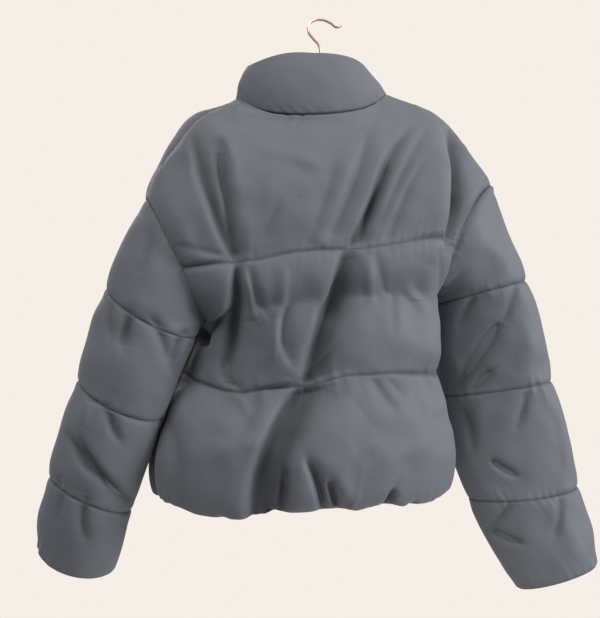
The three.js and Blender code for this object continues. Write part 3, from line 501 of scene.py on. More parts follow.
def fold_height(name, x, z, seams_clear):
    """The height of all of a panel's folds at its points, which die out at sewn edges."""
    rows = FOLDS[name]
    total = np.zeros(x.size)
    every = np.stack([x.ravel(), z.ravel()], -1)
    t = np.linspace(0, 1, 13)[:, None]
    for k in range(len(rows["x0"])):
        start, middle, end = (np.array([rows["x" + n][k], rows["z" + n][k]]) for n in "012")
        path = (1 - t) * (1 - 2 * t) * start + 4 * t * (1 - t) * middle + t * (2 * t - 1) * end
        left, right = rows["left"][k], rows["right"][k]
        reach = 3 * max(left, right)
        near = np.flatnonzero(((every > path.min(0) - reach) & (every < path.max(0) + reach)).all(1))
        best, place, hand = np.full(len(near), 1e9), np.zeros(len(near)), np.ones(len(near))
        for n in range(len(path) - 1):
            way = path[n + 1] - path[n]
            away = every[near] - path[n]
            along = np.clip(away @ way / (way @ way), 0, 1)
            far = np.hypot(*(away - along[:, None] * way).T)
            closer = far < best
            best = np.where(closer, far, best)
            place = np.where(closer, (n + along) / (len(path) - 1), place)
            hand = np.where(closer, away[:, 1] * way[0] - away[:, 0] * way[1], hand)
        width = np.where(hand > 0, left, right)
        best = np.hypot(best, 1.5) - 1.5
        tall = rows["height"][k]
        profile = np.exp(-((best / width) ** (1.4 if tall < 0 else 2)))
        total[near] += tall * profile * lerp(0.25, 1, np.sin(np.pi * place) ** 0.6)
    return total.reshape(x.shape) * seams_clear


def dents(x, z, seed, height):
    """Soft uneven hollows all over a panel, as loose padding leaves them."""
    source = np.random.default_rng(seed)
    total = np.zeros_like(x)
    for _ in range(16):
        turn, wave = source.uniform(0, np.pi), source.uniform(30, 95)
        phase = source.uniform(0, 2 * np.pi)
        total += np.sin(2 * np.pi * (x * np.cos(turn) + z * np.sin(turn)) / wave + phase) * wave / 60
    return height * total / 4


def wander(at, seed, pitch):
    """A smooth uneven wave from -1 to 1 along a seam, with its waves about a pitch apart."""
    source = np.random.default_rng(seed)
    total = np.zeros_like(at)
    for k in range(6):
        wave = pitch * source.uniform(0.75, 1.7)
        total += np.sin(2 * np.pi * at / wave + source.uniform(0, 2 * np.pi)) * source.uniform(0.5, 1)
    return total / 3


def puckers(along, from_line, seed, height, reach):
    """Short gathers square to a seam, strongest at it and uneven along it."""
    where = np.clip(0.3 + 0.8 * wander(along, seed + 50, 90), 0.05, 1)
    length = reach * (0.5 + 1.1 * np.abs(wander(along, seed + 90, 40)))
    lean = along + 0.25 * from_line * wander(along, seed + 70, 120)
    wave = wander(lean, seed, 15)
    wave = np.where(wave < 0, -np.abs(wave) ** 0.8, wave)
    fine = 0.3 * wander(lean, seed + 20, 7) * np.exp(-from_line / 6)
    grow = np.clip(from_line / 2.5, 0, 1)
    return height * where * (wave * np.exp(-from_line / length) + fine) * grow


def arc_lengths(points, axis):
    steps = np.linalg.norm(np.diff(points, axis=axis), axis=-1)
    start = np.zeros_like(np.take(steps, [0], axis=axis))
    return np.concatenate([start, np.cumsum(steps, axis=axis)], axis=axis)


def refined(grid, axis, ring=False):
    """A grid with a new line between each two, on a smooth curve through its neighbours."""
    grid = np.moveaxis(grid, axis, 0)
    if ring:
        before, after, second = np.roll(grid, 1, 0), np.roll(grid, -1, 0), np.roll(grid, -2, 0)
        middle = (9 * (grid + after) - before - second) / 16
        out = np.empty((2 * len(grid), *grid.shape[1:]))
        out[0::2], out[1::2] = grid, middle
    else:
        padded = np.concatenate([2 * grid[:1] - grid[1:2], grid, 2 * grid[-1:] - grid[-2:-1]])
        middle = (9 * (padded[1:-2] + padded[2:-1]) - padded[:-3] - padded[3:]) / 16
        out = np.empty((2 * len(grid) - 1, *grid.shape[1:]))
        out[0::2], out[1::2] = grid, middle
    return np.moveaxis(out, 0, axis)


def grid_faces(columns, rows, ring):
    i, j = np.meshgrid(np.arange(columns if ring else columns - 1), np.arange(rows - 1), indexing="ij")
    i, j = i.ravel(), j.ravel()
    after = (i + 1) % columns
    return np.stack([i * rows + j, after * rows + j, after * rows + j + 1, i * rows + j + 1], -1)


def mesh_from(name, points, faces, uv=None):
    """A new object from points in millimetres and its faces."""
    data = bpy.data.meshes.new(name)
    data.from_pydata((points * MM).tolist(), [], faces.tolist() if hasattr(faces, "tolist") else faces)
    made = bpy.data.objects.new(name, data)
    bpy.context.scene.collection.objects.link(made)
    if uv is not None:
        layer = data.uv_layers.new(name="cloth")
        loops = np.zeros(len(data.loops), np.int64)
        data.loops.foreach_get("vertex_index", loops)
        layer.data.foreach_set("uv", (uv[loops] * MM).astype(np.float32).ravel())
    return made


def pick(made):
    """Makes an object the only selected one."""
    bpy.ops.object.select_all(action="DESELECT")
    made.select_set(True)
    bpy.context.view_layer.objects.active = made


def inflated(name, grid, sewn, ring, cap, growth, pressure, frames=14):
    """The padded outer face once its cloth is filled, held where it is sewn. cap limits each point's way."""
    columns, rows = grid.shape[:2]
    points = grid.reshape(-1, 3)
    made = mesh_from(name + "_cloth", points, grid_faces(columns, rows, ring))
    pins = made.vertex_groups.new(name="sewn")
    pins.add(np.flatnonzero(sewn.ravel()).tolist(), 1.0, "REPLACE")
    pick(made)
    cloth = made.modifiers.new("Cloth", "CLOTH")
    settings = cloth.settings
    settings.quality = 4
    settings.mass = 0.12
    settings.air_damping = 3
    settings.tension_stiffness = settings.compression_stiffness = 12
    settings.shear_stiffness = 4
    settings.bending_stiffness = 3
    settings.vertex_group_mass = "sewn"
    settings.shrink_min = -growth
    settings.use_pressure = True
    settings.uniform_pressure_force = pressure
    settings.effector_weights.gravity = 0
    cloth.collision_settings.use_collision = False
    cloth.collision_settings.use_self_collision = False
    cloth.point_cache.frame_start, cloth.point_cache.frame_end = 1, frames
    for at in range(1, frames + 1):
        bpy.context.scene.frame_set(at)
    bpy.ops.object.modifier_apply(modifier=cloth.name)
    moved = np.zeros(len(points) * 3, np.float32)
    made.data.vertices.foreach_get("co", moved)
    bpy.context.scene.frame_set(1)
    data = made.data
    bpy.data.objects.remove(made)
    bpy.data.meshes.remove(data)
    shift = (moved.reshape(-1, 3).astype(float) / MM - points).reshape(grid.shape)
    for _ in range(3):
        near = [shift[:, 2:] + shift[:, :-2], shift[:, 1:-1]]
        shift[:, 1:-1] = (near[0] + 2 * near[1]) / 4
        near = [shift[2:] + shift[:-2], shift[1:-1]]
        shift[1:-1] = (near[0] + 2 * near[1]) / 4
    length = np.linalg.norm(shift, axis=-1, keepdims=True)
    shift *= cap * np.tanh(length / cap) / np.maximum(length, 1e-9) * ~sewn[..., None]
    return grid + shift


def padded_wall(name, inner, outer, ring, uv, shade):
    """One closed padded piece: its outer face, its plain inner face in larger faces, and its edges. shade is painted
    shade for the outer face's creases and seams, kept on the mesh as a point attribute.
    """
    columns, rows = outer.shape[:2]
    step = (rows - 1) // (inner.shape[1] - 1)
    few_columns, few_rows = inner.shape[:2]
    count = columns * rows
    faces = grid_faces(columns, rows, ring).tolist()
    inside = (grid_faces(few_columns, few_rows, ring)[:, ::-1] + count).tolist()

    def strip(outer_line, inner_line, closed):
        """Faces between a fine edge and a coarse one."""
        total = len(inner_line) if closed else len(inner_line) - 1
        for k in range(total):
            fine = [outer_line[(k * step + n) % len(outer_line)] for n in range(step + 1)]
            yield [*fine, inner_line[(k + 1) % len(inner_line)], inner_line[k]]

    for edge_outer, edge_inner in ((0, 0), (rows - 1, few_rows - 1)):
        outer_line = [i * rows + edge_outer for i in range(columns)]
        inner_line = [count + i * few_rows + edge_inner for i in range(few_columns)]
        faces += strip(outer_line, inner_line, ring)
    if not ring:
        for i, few_i in ((0, 0), (columns - 1, few_columns - 1)):
            outer_line = [i * rows + j for j in range(rows)]
            inner_line = [count + few_i * few_rows + j for j in range(few_rows)]
            faces += strip(outer_line, inner_line, False)
    points = np.concatenate([outer.reshape(-1, 3), inner.reshape(-1, 3)])
    few_uv = uv.reshape(columns, rows, 2)[::step, ::step].reshape(-1, 2)
    made = mesh_from(name, points, faces + inside, np.concatenate([uv.reshape(-1, 2), few_uv]))
    # Painted shade: how much darker the material paints each point in creases and at seams; the inner face gets none.
    painted_crease_shade = made.data.attributes.new("painted_crease_shade", "FLOAT", "POINT")
    painted_shade_values = np.concatenate([shade.ravel(), np.zeros(few_columns * few_rows)])
    painted_crease_shade.data.foreach_set("value", painted_shade_values.astype(np.float32))
    pick(made)
    bpy.ops.object.mode_set(mode="EDIT")
    bpy.ops.mesh.select_all(action="SELECT")
    bpy.ops.mesh.normals_make_consistent(inside=False)
    bpy.ops.object.mode_set(mode="OBJECT")
    bpy.ops.object.shade_smooth_by_angle(angle=math.radians(75))
    return made


def places(start, end, count):
    return np.linspace(start, end, count + 1)


def joined(*lists):
    return np.concatenate([part if k == 0 else part[1:] for k, part in enumerate(lists)])


BODY_SPANS = {
    "back": (1, ((0, NECK_RIGHT, 26), (NECK_RIGHT, MIDDLE, 10), (MIDDLE, NECK_LEFT, 12), (NECK_LEFT, 1, 24))),
    "front_right": (-1, ((0, NECK_RIGHT, 26), (NECK_RIGHT, MIDDLE, 10))),
    "front_left": (-1, ((MIDDLE, NECK_LEFT, 12), (NECK_LEFT, 1, 24))),
}
CHANNEL_ROWS = 30  # rows of cloth faces in one quilting channel of the body


def wander_seams(points, v, share):
    """Moves the two quilting lines of the back up and down with the cloth around them."""
    for level, rows in SEAM_DRIFT.items():
        order = np.argsort(rows["x"])
        rise = np.interp(points[..., 0], rows["x"][order], rows["z"][order])
        near = np.clip(1 - np.abs(v - level) / 0.45, 0, 1)
        points[..., 2] += rise * near**2 * (3 - 2 * near) * share


def near_pits(point):
    pits = [armhole_point(arm, -np.pi / 2, 1) for arm in ARMHOLES]
    return np.min([np.linalg.norm(point - pit, axis=-1) for pit in pits], axis=0)


def move_edges(layer, left, right, top, bottom):
    """Draws a grid's four edges in by their seam allowances."""
    for edge, gap in ((0, left), (-1, right)):
        inwards = 1 if edge == 0 else -2
        if gap:
            layer[edge] += unit(layer[inwards] - layer[edge]) * gap
    for edge, gap in ((-1, top), (0, bottom)):
        inwards = 1 if edge == 0 else -2
        if gap:
            layer[:, edge] += unit(layer[:, inwards] - layer[:, edge]) * gap


def lowest_near(heights):
    """The lowest of each height and its neighbours, so that the coarse inner wall stays under the deepest creases."""
    for axis in (0, 1):
        padded = np.pad(heights, [(1, 1) if axis == k else (0, 0) for k in (0, 1)], mode="edge")
        shifted = [np.take(padded, np.arange(n, n + heights.shape[axis]), axis) for n in range(3)]
        heights = np.minimum.reduce(shifted)
    return heights


def blurred(heights):
    """Heights averaged with their nearest neighbours."""
    out = heights.copy()
    out[1:-1] = (heights[2:] + heights[:-2] + 2 * heights[1:-1]) / 4
    heights = out.copy()
    out[:, 1:-1] = (heights[:, 2:] + heights[:, :-2] + 2 * heights[:, 1:-1]) / 4
    return out


def finer(grid, times, ring=False):
    """A grid with each face split into times by times smaller ones."""
    for _ in range(times.bit_length() - 1):
        for axis in (0, 1):
            grid = refined(grid, axis, ring and axis == 0)
    return grid


def from_seams(v, channel):
    """How far a level lies from the nearest quilting line, in millimetres."""
    return np.abs(v - np.round(v)) * channel


def body_panel(name, sizes, quick):
    side, spans = BODY_SPANS[name]
    s = joined(*(places(*span) for span in spans))
    v = joined(*(places(k, k + 1, CHANNEL_ROWS) for k in range(3)))
    s_grid, v_grid = np.meshgrid(s, v, indexing="ij")
    base = body(side, s_grid, v_grid)
    way = body_direction(side, s_grid, v_grid)
    across, along = arc_lengths(base, 0), arc_lengths(base, 1)
    sides = np.minimum(across, across[-1:] - across)
    if side > 0:
        wander_seams(base, v_grid, np.clip(sides / 40, 0, 1))
    ends = np.minimum(along, along[:, -1:] - along)
    edge = np.minimum(sides, ends)
    channel = np.minimum(np.floor(v_grid), 2)
    q = v_grid - channel
    pits = np.minimum(1, near_pits(base) / PIT_REACH)
    in_neck = s[(s >= NECK_RIGHT) & (s <= NECK_LEFT)]
    neck = body(side, in_neck, np.full_like(in_neck, TOP_V))
    near_neck = np.min(np.linalg.norm(base[:, :, None] - neck[None, None], axis=-1), axis=-1)
    clear_neck = np.where(v_grid > UPPER_SEAM_V, np.minimum(1, 0.25 + near_neck / NECK_REACH), 1)
    tall = np.where(channel == 0, sizes.hem_puff / MM, sizes.body_puff / MM)
    place = np.where(channel == 0, q**0.75, q)
    seam_distance = from_seams(v_grid, BODY_CHANNEL)
    height = (tall - NOTCH["body"]) * swell(place, SWELL) * round_off(sides, 34) * pits * clear_neck
    clear = np.clip(sides / 16, 0, 1) * np.clip((seam_distance + 4) / 16, 0, 1)
    panel = "back" if side > 0 else "front"
    folds = fold_height(panel, base[..., 0], base[..., 2], clear)
    # The hem rolls down past its gathering and turns in.
    below = np.clip(1 - v_grid / 0.34, 0, 1)
    line = np.interp(base[..., 0], HEM_LINE[side]["x"], HEM_LINE[side]["z"])
    drop = (line - base[..., 2]) * below**1.5 * np.clip(v_grid / 0.05, 0.15, 1)
    start = base + way * (CLOTH + height)[..., None]
    start[..., 2] += drop
    inner = base + way * np.minimum(0, height + lowest_near(folds) - 1)[..., None]
    inner[..., 2] += drop * 0.4
    sewn = (np.abs(v_grid - np.round(v_grid)) < 1e-6) | (sides < 1e-6)
    if not quick:
        start = inflated(name, start, sewn, False, sizes.cap / MM, sizes.growth, sizes.pressure)
    start, way, base = (finer(g, FINER) for g in (start, way, base))
    v_grid, sides = (finer(g[..., None], FINER)[..., 0] for g in (v_grid, sides))
    across, along = arc_lengths(base, 0), arc_lengths(base, 1)
    seed = {"back": 3, "front_right": 11, "front_left": 17}[name]
    seam_distance = from_seams(v_grid, BODY_CHANNEL)
    clear = np.clip(sides / 12, 0, 1) * np.clip((seam_distance + 4) / 14, 0, 1)
    relief = fold_height(panel, base[..., 0], base[..., 2], clear)
    # Painted shade, darkest in the fold troughs.
    shade = np.clip(-relief / 11, 0, 1) ** 1.3
    relief += NOTCH["body"] * (1 - np.exp(-np.minimum(seam_distance, sides + 2) / 2.2))
    hollows = dents(base[..., 0], base[..., 2], seed, 0.9)
    relief += hollows * np.clip(seam_distance / 30, 0, 1) * np.clip(sides / 30, 0, 1)
    for line_v in range(0, 4):
        from_line = np.abs(v_grid - line_v) * BODY_CHANNEL
        relief += puckers(across, from_line, seed + 7 * line_v, 2.8, 12 if line_v else 24)
    relief += puckers(along, sides, seed + 31, 1.6, 9) * np.clip(sides / 4, 0, 1)
    relief = blurred(relief)
    # More painted shade along the quilting lines and the side seams.
    shade = np.maximum(shade, 0.8 * np.exp(-seam_distance / 1.6))
    shade = np.maximum(shade, 0.8 * np.exp(-sides / 1.6))
    start += unit(way) * relief[..., None]
    gaps = {
        "back": (TRIM, TRIM), "front_right": (TRIM, ZIP_HALF_GAP), "front_left": (ZIP_HALF_GAP, TRIM),
    }[name]
    for layer in (start, inner):
        move_edges(layer, *gaps, TRIM, 0)
    return padded_wall(name + "_padded", inner, start, False, np.stack([across, along], -1), shade)


def sleeve_piece(arm, sizes, quick):
    half = 26
    angle = np.concatenate([places(-90, 90, half), places(90, -90, half)[1:-1]]) * np.pi / 180
    side = np.concatenate([np.ones(half + 1), -np.ones(half - 1)])
    v = joined(*(places(k, k + 1, 22) for k in range(4)))
    angle_grid, v_grid = np.meshgrid(angle, v, indexing="ij")
    side_grid = np.broadcast_to(side[:, None], angle_grid.shape)
    base = sleeve(arm, angle_grid, side_grid, v_grid)
    way = sleeve_normal(arm, angle_grid, side_grid, v_grid)
    flat = np.abs(np.cos(angle_grid)) < 1e-6
    way = unit(way + np.where(flat[..., None], sleeve_normal(arm, angle_grid, -side_grid, v_grid), 0))
    inner_share = lerp(0.35, 1, (1 + np.sin(angle_grid)) / 2)
    pits = np.minimum(1, np.linalg.norm(base - armhole_point(arm, -np.pi / 2, 1), axis=-1) / PIT_REACH)
    q = v_grid - np.minimum(np.floor(v_grid), 3)
    height = (sizes.sleeve_puff / MM - 2) * swell(q, SWELL) * inner_share * pits
    start = base + way * (CLOTH + height)[..., None]
    inner = base - way * 0.5
    sewn = np.abs(v_grid - np.round(v_grid)) < 1e-6
    if not quick:
        start = inflated("sleeve_" + arm, start, sewn, True, sizes.cap / MM * 0.7, sizes.growth, sizes.pressure)
    start, way, base = (finer(g, FINER, True) for g in (start, way, base))
    v_grid = finer(v_grid[..., None], FINER, True)[..., 0]
    cosine = finer(np.cos(angle_grid)[..., None] * side_grid[..., None], FINER, True)[..., 0]
    seam_distance = from_seams(v_grid, SLEEVE_CHANNEL)
    clear = np.clip((seam_distance + 4) / 12, 0, 1) * np.clip(v_grid / 0.1, 0, 1)
    folds = 1.7 * fold_height("sleeve_" + arm, base[..., 0], base[..., 2], clear)
    folds = np.where(cosine > 0, folds, 0.7 * np.roll(folds, 20, axis=1)) * np.abs(cosine) ** 0.5
    along = arc_lengths(base, 1)
    closed = np.concatenate([base, base[:1]])
    across = arc_lengths(closed, 0)[:-1]
    girth = arc_lengths(closed, 0)[-1:]
    round_way = np.minimum(across, girth - across)
    seed = {"left": 23, "right": 37}[arm]
    hollows = dents(base[..., 0] + base[..., 1], base[..., 2], seed, 0.8)
    relief = folds + hollows * np.clip(seam_distance / 25, 0, 1)
    for line_v in range(0, 5):
        from_line = np.abs(v_grid - line_v) * SLEEVE_CHANNEL
        relief += puckers(round_way, from_line, seed + 5 * line_v, 2.4, 11 if line_v < 4 else 18)
    # Painted shade in the sleeve's fold troughs and along its quilting lines.
    shade = np.maximum(np.clip(-folds / 8, 0, 1) ** 1.3, 0.8 * np.exp(-seam_distance / 1.6))
    relief += NOTCH["sleeve"] * (1 - np.exp(-seam_distance / 2.2))
    start += unit(way) * relief[..., None]
    for layer in (start, inner):
        layer[:, 0] += unit(layer[:, 1] - layer[:, 0]) * TRIM
    return padded_wall("sleeve_" + arm + "_padded", inner, start, True, np.stack([across, along], -1), shade)


def collar_piece(sizes, quick):
    right = joined(places(MIDDLE, NECK_RIGHT, 14))
    back = joined(places(NECK_RIGHT, MIDDLE, 14), places(MIDDLE, NECK_LEFT, 16))
    left = places(NECK_LEFT, MIDDLE, 16)
    s = np.concatenate([right, back[1:], left[1:]])
    side = np.concatenate([-np.ones(len(right)), np.ones(len(back) - 2), -np.ones(len(left))])
    h = places(0, 1, 22)
    s_grid, h_grid = np.meshgrid(s, h, indexing="ij")
    base, way = np.zeros((*s_grid.shape, 3)), np.zeros((*s_grid.shape, 3))
    corner = (np.abs(s - NECK_RIGHT) < 1e-6) | (np.abs(s - NECK_LEFT) < 1e-6)
    for one in (1, -1):
        rows = side == one
        base[rows] = collar(one, s_grid[rows], h_grid[rows])
        way[rows] = collar_normal(one, s_grid[rows], h_grid[rows])
        way[rows, 0] = body_direction(one, s_grid[rows, 0], np.full(rows.sum(), TOP_V))
    way[corner] = unit(way[corner] + collar_normal(1, s_grid[corner], h_grid[corner]))
    across, along = arc_lengths(base, 0), arc_lengths(base, 1)
    ends = np.minimum(across, across[-1:] - across)
    spread = (base[..., 0] - NECK_RING["x"]) / NECK_RING["halfWidth"]
    flatter = 1 - 0.65 * np.clip(np.abs(spread), 0, 1) ** 6
    puff = sizes.collar_puff / MM * np.where(side > 0, 1, 0.9)[:, None] * flatter
    foot = swell(h_grid * 0.86 + 0.02, 0.6)
    height = puff * foot * round_off(ends, 30)
    start = base + way * (CLOTH + height)[..., None]
    # The filled lower edge rolls down over the neck seam behind.
    roll = np.clip(1 - h_grid / 0.3, 0, 1) * np.clip(h_grid / 0.05, 0, 1) * (side > 0)[:, None]
    start[..., 2] -= 1.5 * roll
    edge = np.interp(base[..., 0], COLLAR_EDGE["x"], COLLAR_EDGE["z"])
    edge = edge * np.clip((h_grid - 0.5) / 0.5, 0, 1) ** 2 * (side > 0)[:, None]
    start[..., 2] += edge
    inner = base.copy()
    inner[..., 2] += edge
    sewn = (h_grid < 1e-6) | (h_grid > 1 - 1e-6) | (ends < 1e-6)
    if not quick:
        start = inflated("collar", start, sewn, False, 3, 0.0, sizes.pressure)
    start, way, base = (finer(g, FINER) for g in (start, way, base))
    h_grid = finer(h_grid[..., None], FINER)[..., 0]
    across, along = arc_lengths(base, 0), arc_lengths(base, 1)
    relief = puckers(across, h_grid * COLLAR_TALL, 61, 1.4, 10) + dents(across, along, 67, 0.5) * swell(h_grid, 0.6)
    start += unit(way) * relief[..., None]
    for layer in (start, inner):
        move_edges(layer, ZIP_HALF_GAP, ZIP_HALF_GAP, 0, 1.2)
    # Painted shade along the collar's neck seam.
    shade = 0.9 * np.exp(-h_grid * COLLAR_TALL / 3)
    return padded_wall("collar_padded", inner, start, False, np.stack([across, along], -1), shade)


# Materials.


class Value:
    """A socket that takes part in sums."""

    def __init__(self, paint, socket):
        self.paint, self.socket = paint, socket

    def sum(self, operation, other):
        return self.paint.node("ShaderNodeMath", {"operation": operation}, {0: self, 1: other})

    def __add__(self, other):
        return self.sum("ADD", other)

    def __mul__(self, other):
        return self.sum("MULTIPLY", other)

    __radd__ = __add__
    __rmul__ = __mul__


class Paint:
    """One material and its nodes."""

    def __init__(self, name):
        self.material = bpy.data.materials.new(name)
        self.material.use_nodes = True
        self.tree = self.material.node_tree
        self.shader = self.tree.nodes["Principled BSDF"]

    def node(self, kind, settings, inputs, output=0):
        made = self.tree.nodes.new(kind)
        for key, value in settings.items():
            setattr(made, key, value)
        for key, value in inputs.items():
            self.feed(made.inputs[key], value)
        return Value(self, made.outputs[output])

    def feed(self, socket, value):
        if isinstance(value, Value):
            self.tree.links.new(value.socket, socket)
        else:
            socket.default_value = value

    def place(self, uv):
        return self.node("ShaderNodeTexCoord", {}, {}, "UV" if uv else "Object")

    def mix(self, share, low, high):
        made = self.node("ShaderNodeMix", {"data_type": "RGBA"}, {})
        node = made.socket.node
        for socket, value in ((node.inputs[0], share), (node.inputs[6], low), (node.inputs[7], high)):
            self.feed(socket, value)
        return Value(self, node.outputs[2])

    def noise(self, at, scale, detail, **more):
        return self.node("ShaderNodeTexNoise", {}, {"Vector": at, "Scale": scale, "Detail": detail, **more})

    def wave(self, way, at, scale, **more):
        return self.node("ShaderNodeTexWave", {"bands_direction": way}, {"Vector": at, "Scale": scale, **more})

    def bump(self, strength, distance, height, **more):
        inputs = {"Strength": strength, "Distance": distance, "Height": height, **more}
        return self.node("ShaderNodeBump", {}, inputs)

    def finish(self, **inputs):
        for key, value in inputs.items():
            self.feed(self.shader.inputs[key.replace("_", " ")], value)
        return self.material


def rgba(colour, factor=1.0):
    return (*[min(1.0, c * factor) for c in colour[:3]], 1.0)


def padded_cloth(name, colour):
    """Smooth polyester over padding: a tight plain weave, fine crumpling, faint mottling and painted shade in its
    creases and seams.
    """
    paint = Paint(name)
    at, uv = paint.place(False), paint.place(True)
    mottle = paint.noise(at, 9.0, 3.0, Roughness=0.6)
    fine = paint.noise(at, 420.0, 2.0)
    crumple = paint.noise(at, 46.0, 4.0, Roughness=0.55, Distortion=0.6)
    warp, weft = (paint.wave(way, uv, 900.0, Distortion=0.4, Detail=1.0) for way in "XY")
    weave = warp * weft
    tint = paint.mix(mottle, rgba(colour, 0.86), rgba(colour, 1.14))
    tint = paint.mix(weave * 0.12 + fine * 0.1, tint, rgba(colour, 1.5))
    # Painted shade: points in creases and at seams are mixed towards a much darker colour, by the attribute the padded
    # pieces carry.
    painted_crease_shade = paint.node("ShaderNodeAttribute", {"attribute_name": "painted_crease_shade"}, {}, "Fac")
    tint = paint.mix(painted_crease_shade * 0.75, tint, rgba(colour, 0.22))
    crumpled = paint.bump(0.5, 0.0016, crumple)
    woven = paint.bump(0.25, 0.0001, weave + fine * 0.5, Normal=crumpled)
    return paint.finish(
        Base_Color=tint, Roughness=0.6 + mottle * 0.1 + fine * 0.06, Normal=woven,
        Sheen_Weight=0.15, Sheen_Roughness=0.5, Specular_IOR_Level=0.4,
    )


def tape_cloth(name, colour):
    """Coarse twill zip tape."""
    paint = Paint(name)
    at = paint.place(False)
    twill = paint.wave("DIAGONAL", at, 260.0, Distortion=0.3)
    fuzz = paint.noise(at, 900.0, 2.0)
    return paint.finish(
        Base_Color=paint.mix(twill * 0.6 + fuzz * 0.3, rgba(colour, 0.8), rgba(colour, 1.3)),
        Roughness=0.82, Normal=paint.bump(0.6, 0.0002, twill + fuzz * 0.4),
    )


def plated_metal(name, colour, rough):
    """Plated wire or zip metal, a little rubbed."""
    paint = Paint(name)
    rub = paint.noise(paint.place(False), 160.0, 4.0, Roughness=0.65)
    return paint.finish(
        Base_Color=paint.mix(rub, rgba(colour, 0.88), rgba(colour, 1.1)), Metallic=1.0,
        Roughness=rough + rub * 0.14, Normal=paint.bump(0.15, 0.0001, rub),
    )


def thread_cloth(name, colour):
    """Twisted sewing thread."""
    paint = Paint(name)
    twist = paint.wave("DIAGONAL", paint.place(False), 1200.0)
    return paint.finish(
        Base_Color=paint.mix(twist, rgba(colour, 0.7), rgba(colour, 1.2)), Roughness=0.6 + twist * 0.1
    )


def dress(made, material):
    made.data.materials.clear()
    made.data.materials.append(material)


def cloth_material(look):
    return bpy.data.materials.get("shell_cloth") or padded_cloth("shell_cloth", look.shell)


def finish_cloth(made, node, look):
    dress(made, cloth_material(look))
    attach(made, "jacket")
    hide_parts(node)


# Zip, stitches and hanger.


def zip_line(count):
    """Points up the middle of the zip, from the hem to the slider, with the way out of the cloth."""
    v = places(0.02, TOP_V, int(count * 0.88))
    h = places(0, 0.99, count - int(count * 0.88))[1:]
    middle_v, middle_h = np.full_like(v, MIDDLE), np.full_like(h, MIDDLE)
    points = np.concatenate([body(-1, middle_v, v), collar(-1, middle_h, h)])
    out = np.concatenate([body_normal(-1, middle_v, v), collar_normal(-1, middle_h - 1e-3, h)])
    steps = np.concatenate([[0], np.cumsum(np.linalg.norm(np.diff(points, axis=0), axis=1))])
    at = np.arange(1.0, steps[-1], 1.35)
    line = np.stack([np.interp(at, steps, points[:, k]) for k in range(3)], -1)
    facing = unit(np.stack([np.interp(at, steps, out[:, k]) for k in range(3)], -1))
    return line, facing


def repeated(name, model, origins, xs, ys, zs):
    """Copies of a small modelled piece, each set at its own place and turned to its own axes, as one mesh."""
    points = np.array([vertex.co for vertex in model.data.vertices], float) / MM
    faces = [list(polygon.vertices) for polygon in model.data.polygons]
    placed = origins[:, None] + sum(points[None, :, k:k + 1] * axis[:, None] for k, axis in enumerate((xs, ys, zs)))
    every = [[k * len(points) + corner for corner in face] for k in range(len(origins)) for face in faces]
    data = model.data
    bpy.data.objects.remove(model)
    bpy.data.meshes.remove(data)
    return mesh_from(name, placed.reshape(-1, 3), every)


def tooth():
    """One moulded zip tooth, with its locking head narrowed."""
    bpy.ops.mesh.primitive_cube_add(size=1, location=(0, 0, 0))
    made = bpy.context.object
    made.scale = (3.4 * MM, 2.2 * MM, 1.0 * MM)
    bpy.ops.object.transform_apply(location=False, rotation=False, scale=True)
    for vertex in made.data.vertices:
        if vertex.co.x < 0:
            vertex.co.z *= 0.62
            vertex.co.y *= 0.8
    bevel = made.modifiers.new("Bevel", "BEVEL")
    bevel.width, bevel.segments = 0.22 * MM, 1
    bpy.ops.object.modifier_apply(modifier=bevel.name)
    return made


def stitch():
    """One sewn stitch: a short straight thread, flattened a little and set slightly into the cloth."""
    bpy.ops.mesh.primitive_cylinder_add(vertices=6, radius=0.32 * MM, depth=3.0 * MM, rotation=(0, math.pi / 2, 0))
    made = bpy.context.object
    bpy.ops.object.transform_apply(location=False, rotation=True, scale=False)
    for vertex in made.data.vertices:
        vertex.co.z -= 0.35 * MM
        vertex.co.y *= 0.8
    return made


def stitch_rows():
    """Where each stitch lies, its way along the seam, and the way out of the cloth."""
    origins, ways, outs = [], [], []

    def run(points, normals):
        steps = np.concatenate([[0], np.cumsum(np.linalg.norm(np.diff(points, axis=0), axis=1))])
        at = np.arange(2.5, steps[-1] - 2.5, 4.2)
        place = np.stack([np.interp(at, steps, points[:, k]) for k in range(3)], -1)
        out = unit(np.stack([np.interp(at, steps, normals[:, k]) for k in range(3)], -1))
        ways.append(unit(np.gradient(place, axis=0)))
        origins.append(place + out * (CLOTH + 0.25))
        outs.append(out)

    for side in (1, -1):
        for v in (1, 2):
            for start, end in (((0.01, 0.99),) if side > 0 else ((0.01, 0.485), (0.515, 0.99))):
                s = np.linspace(start, end, 160)
                run(body(side, s, np.full_like(s, v)), body_direction(side, s, np.full_like(s, float(v))))
    for arm in ARMHOLES:
        for v in (1, 2, 3):
            angle = np.radians(np.linspace(-88, 88, 90))
            for side in (1, -1):
                run(sleeve(arm, angle, side, float(v)), sleeve_normal(arm, angle, side, float(v)))
    return (np.concatenate(parts) for parts in (origins, ways, outs))


HOOK = table(
    "x z",
    (-30.5, -6), (-23.5, -8.5), (-14, -2.5), (0, 1.8), (11, 0), (18.5, -6.5), (19.5, -16), (12, -27), (4, -36),
    (1.5, -46), (1.5, -78),
)
HANGER = {"neck": -72, "drop": 9.1, "right": -184, "left": 186, "bar": -214, "sag": 2, "y": 4, "bend": 12}


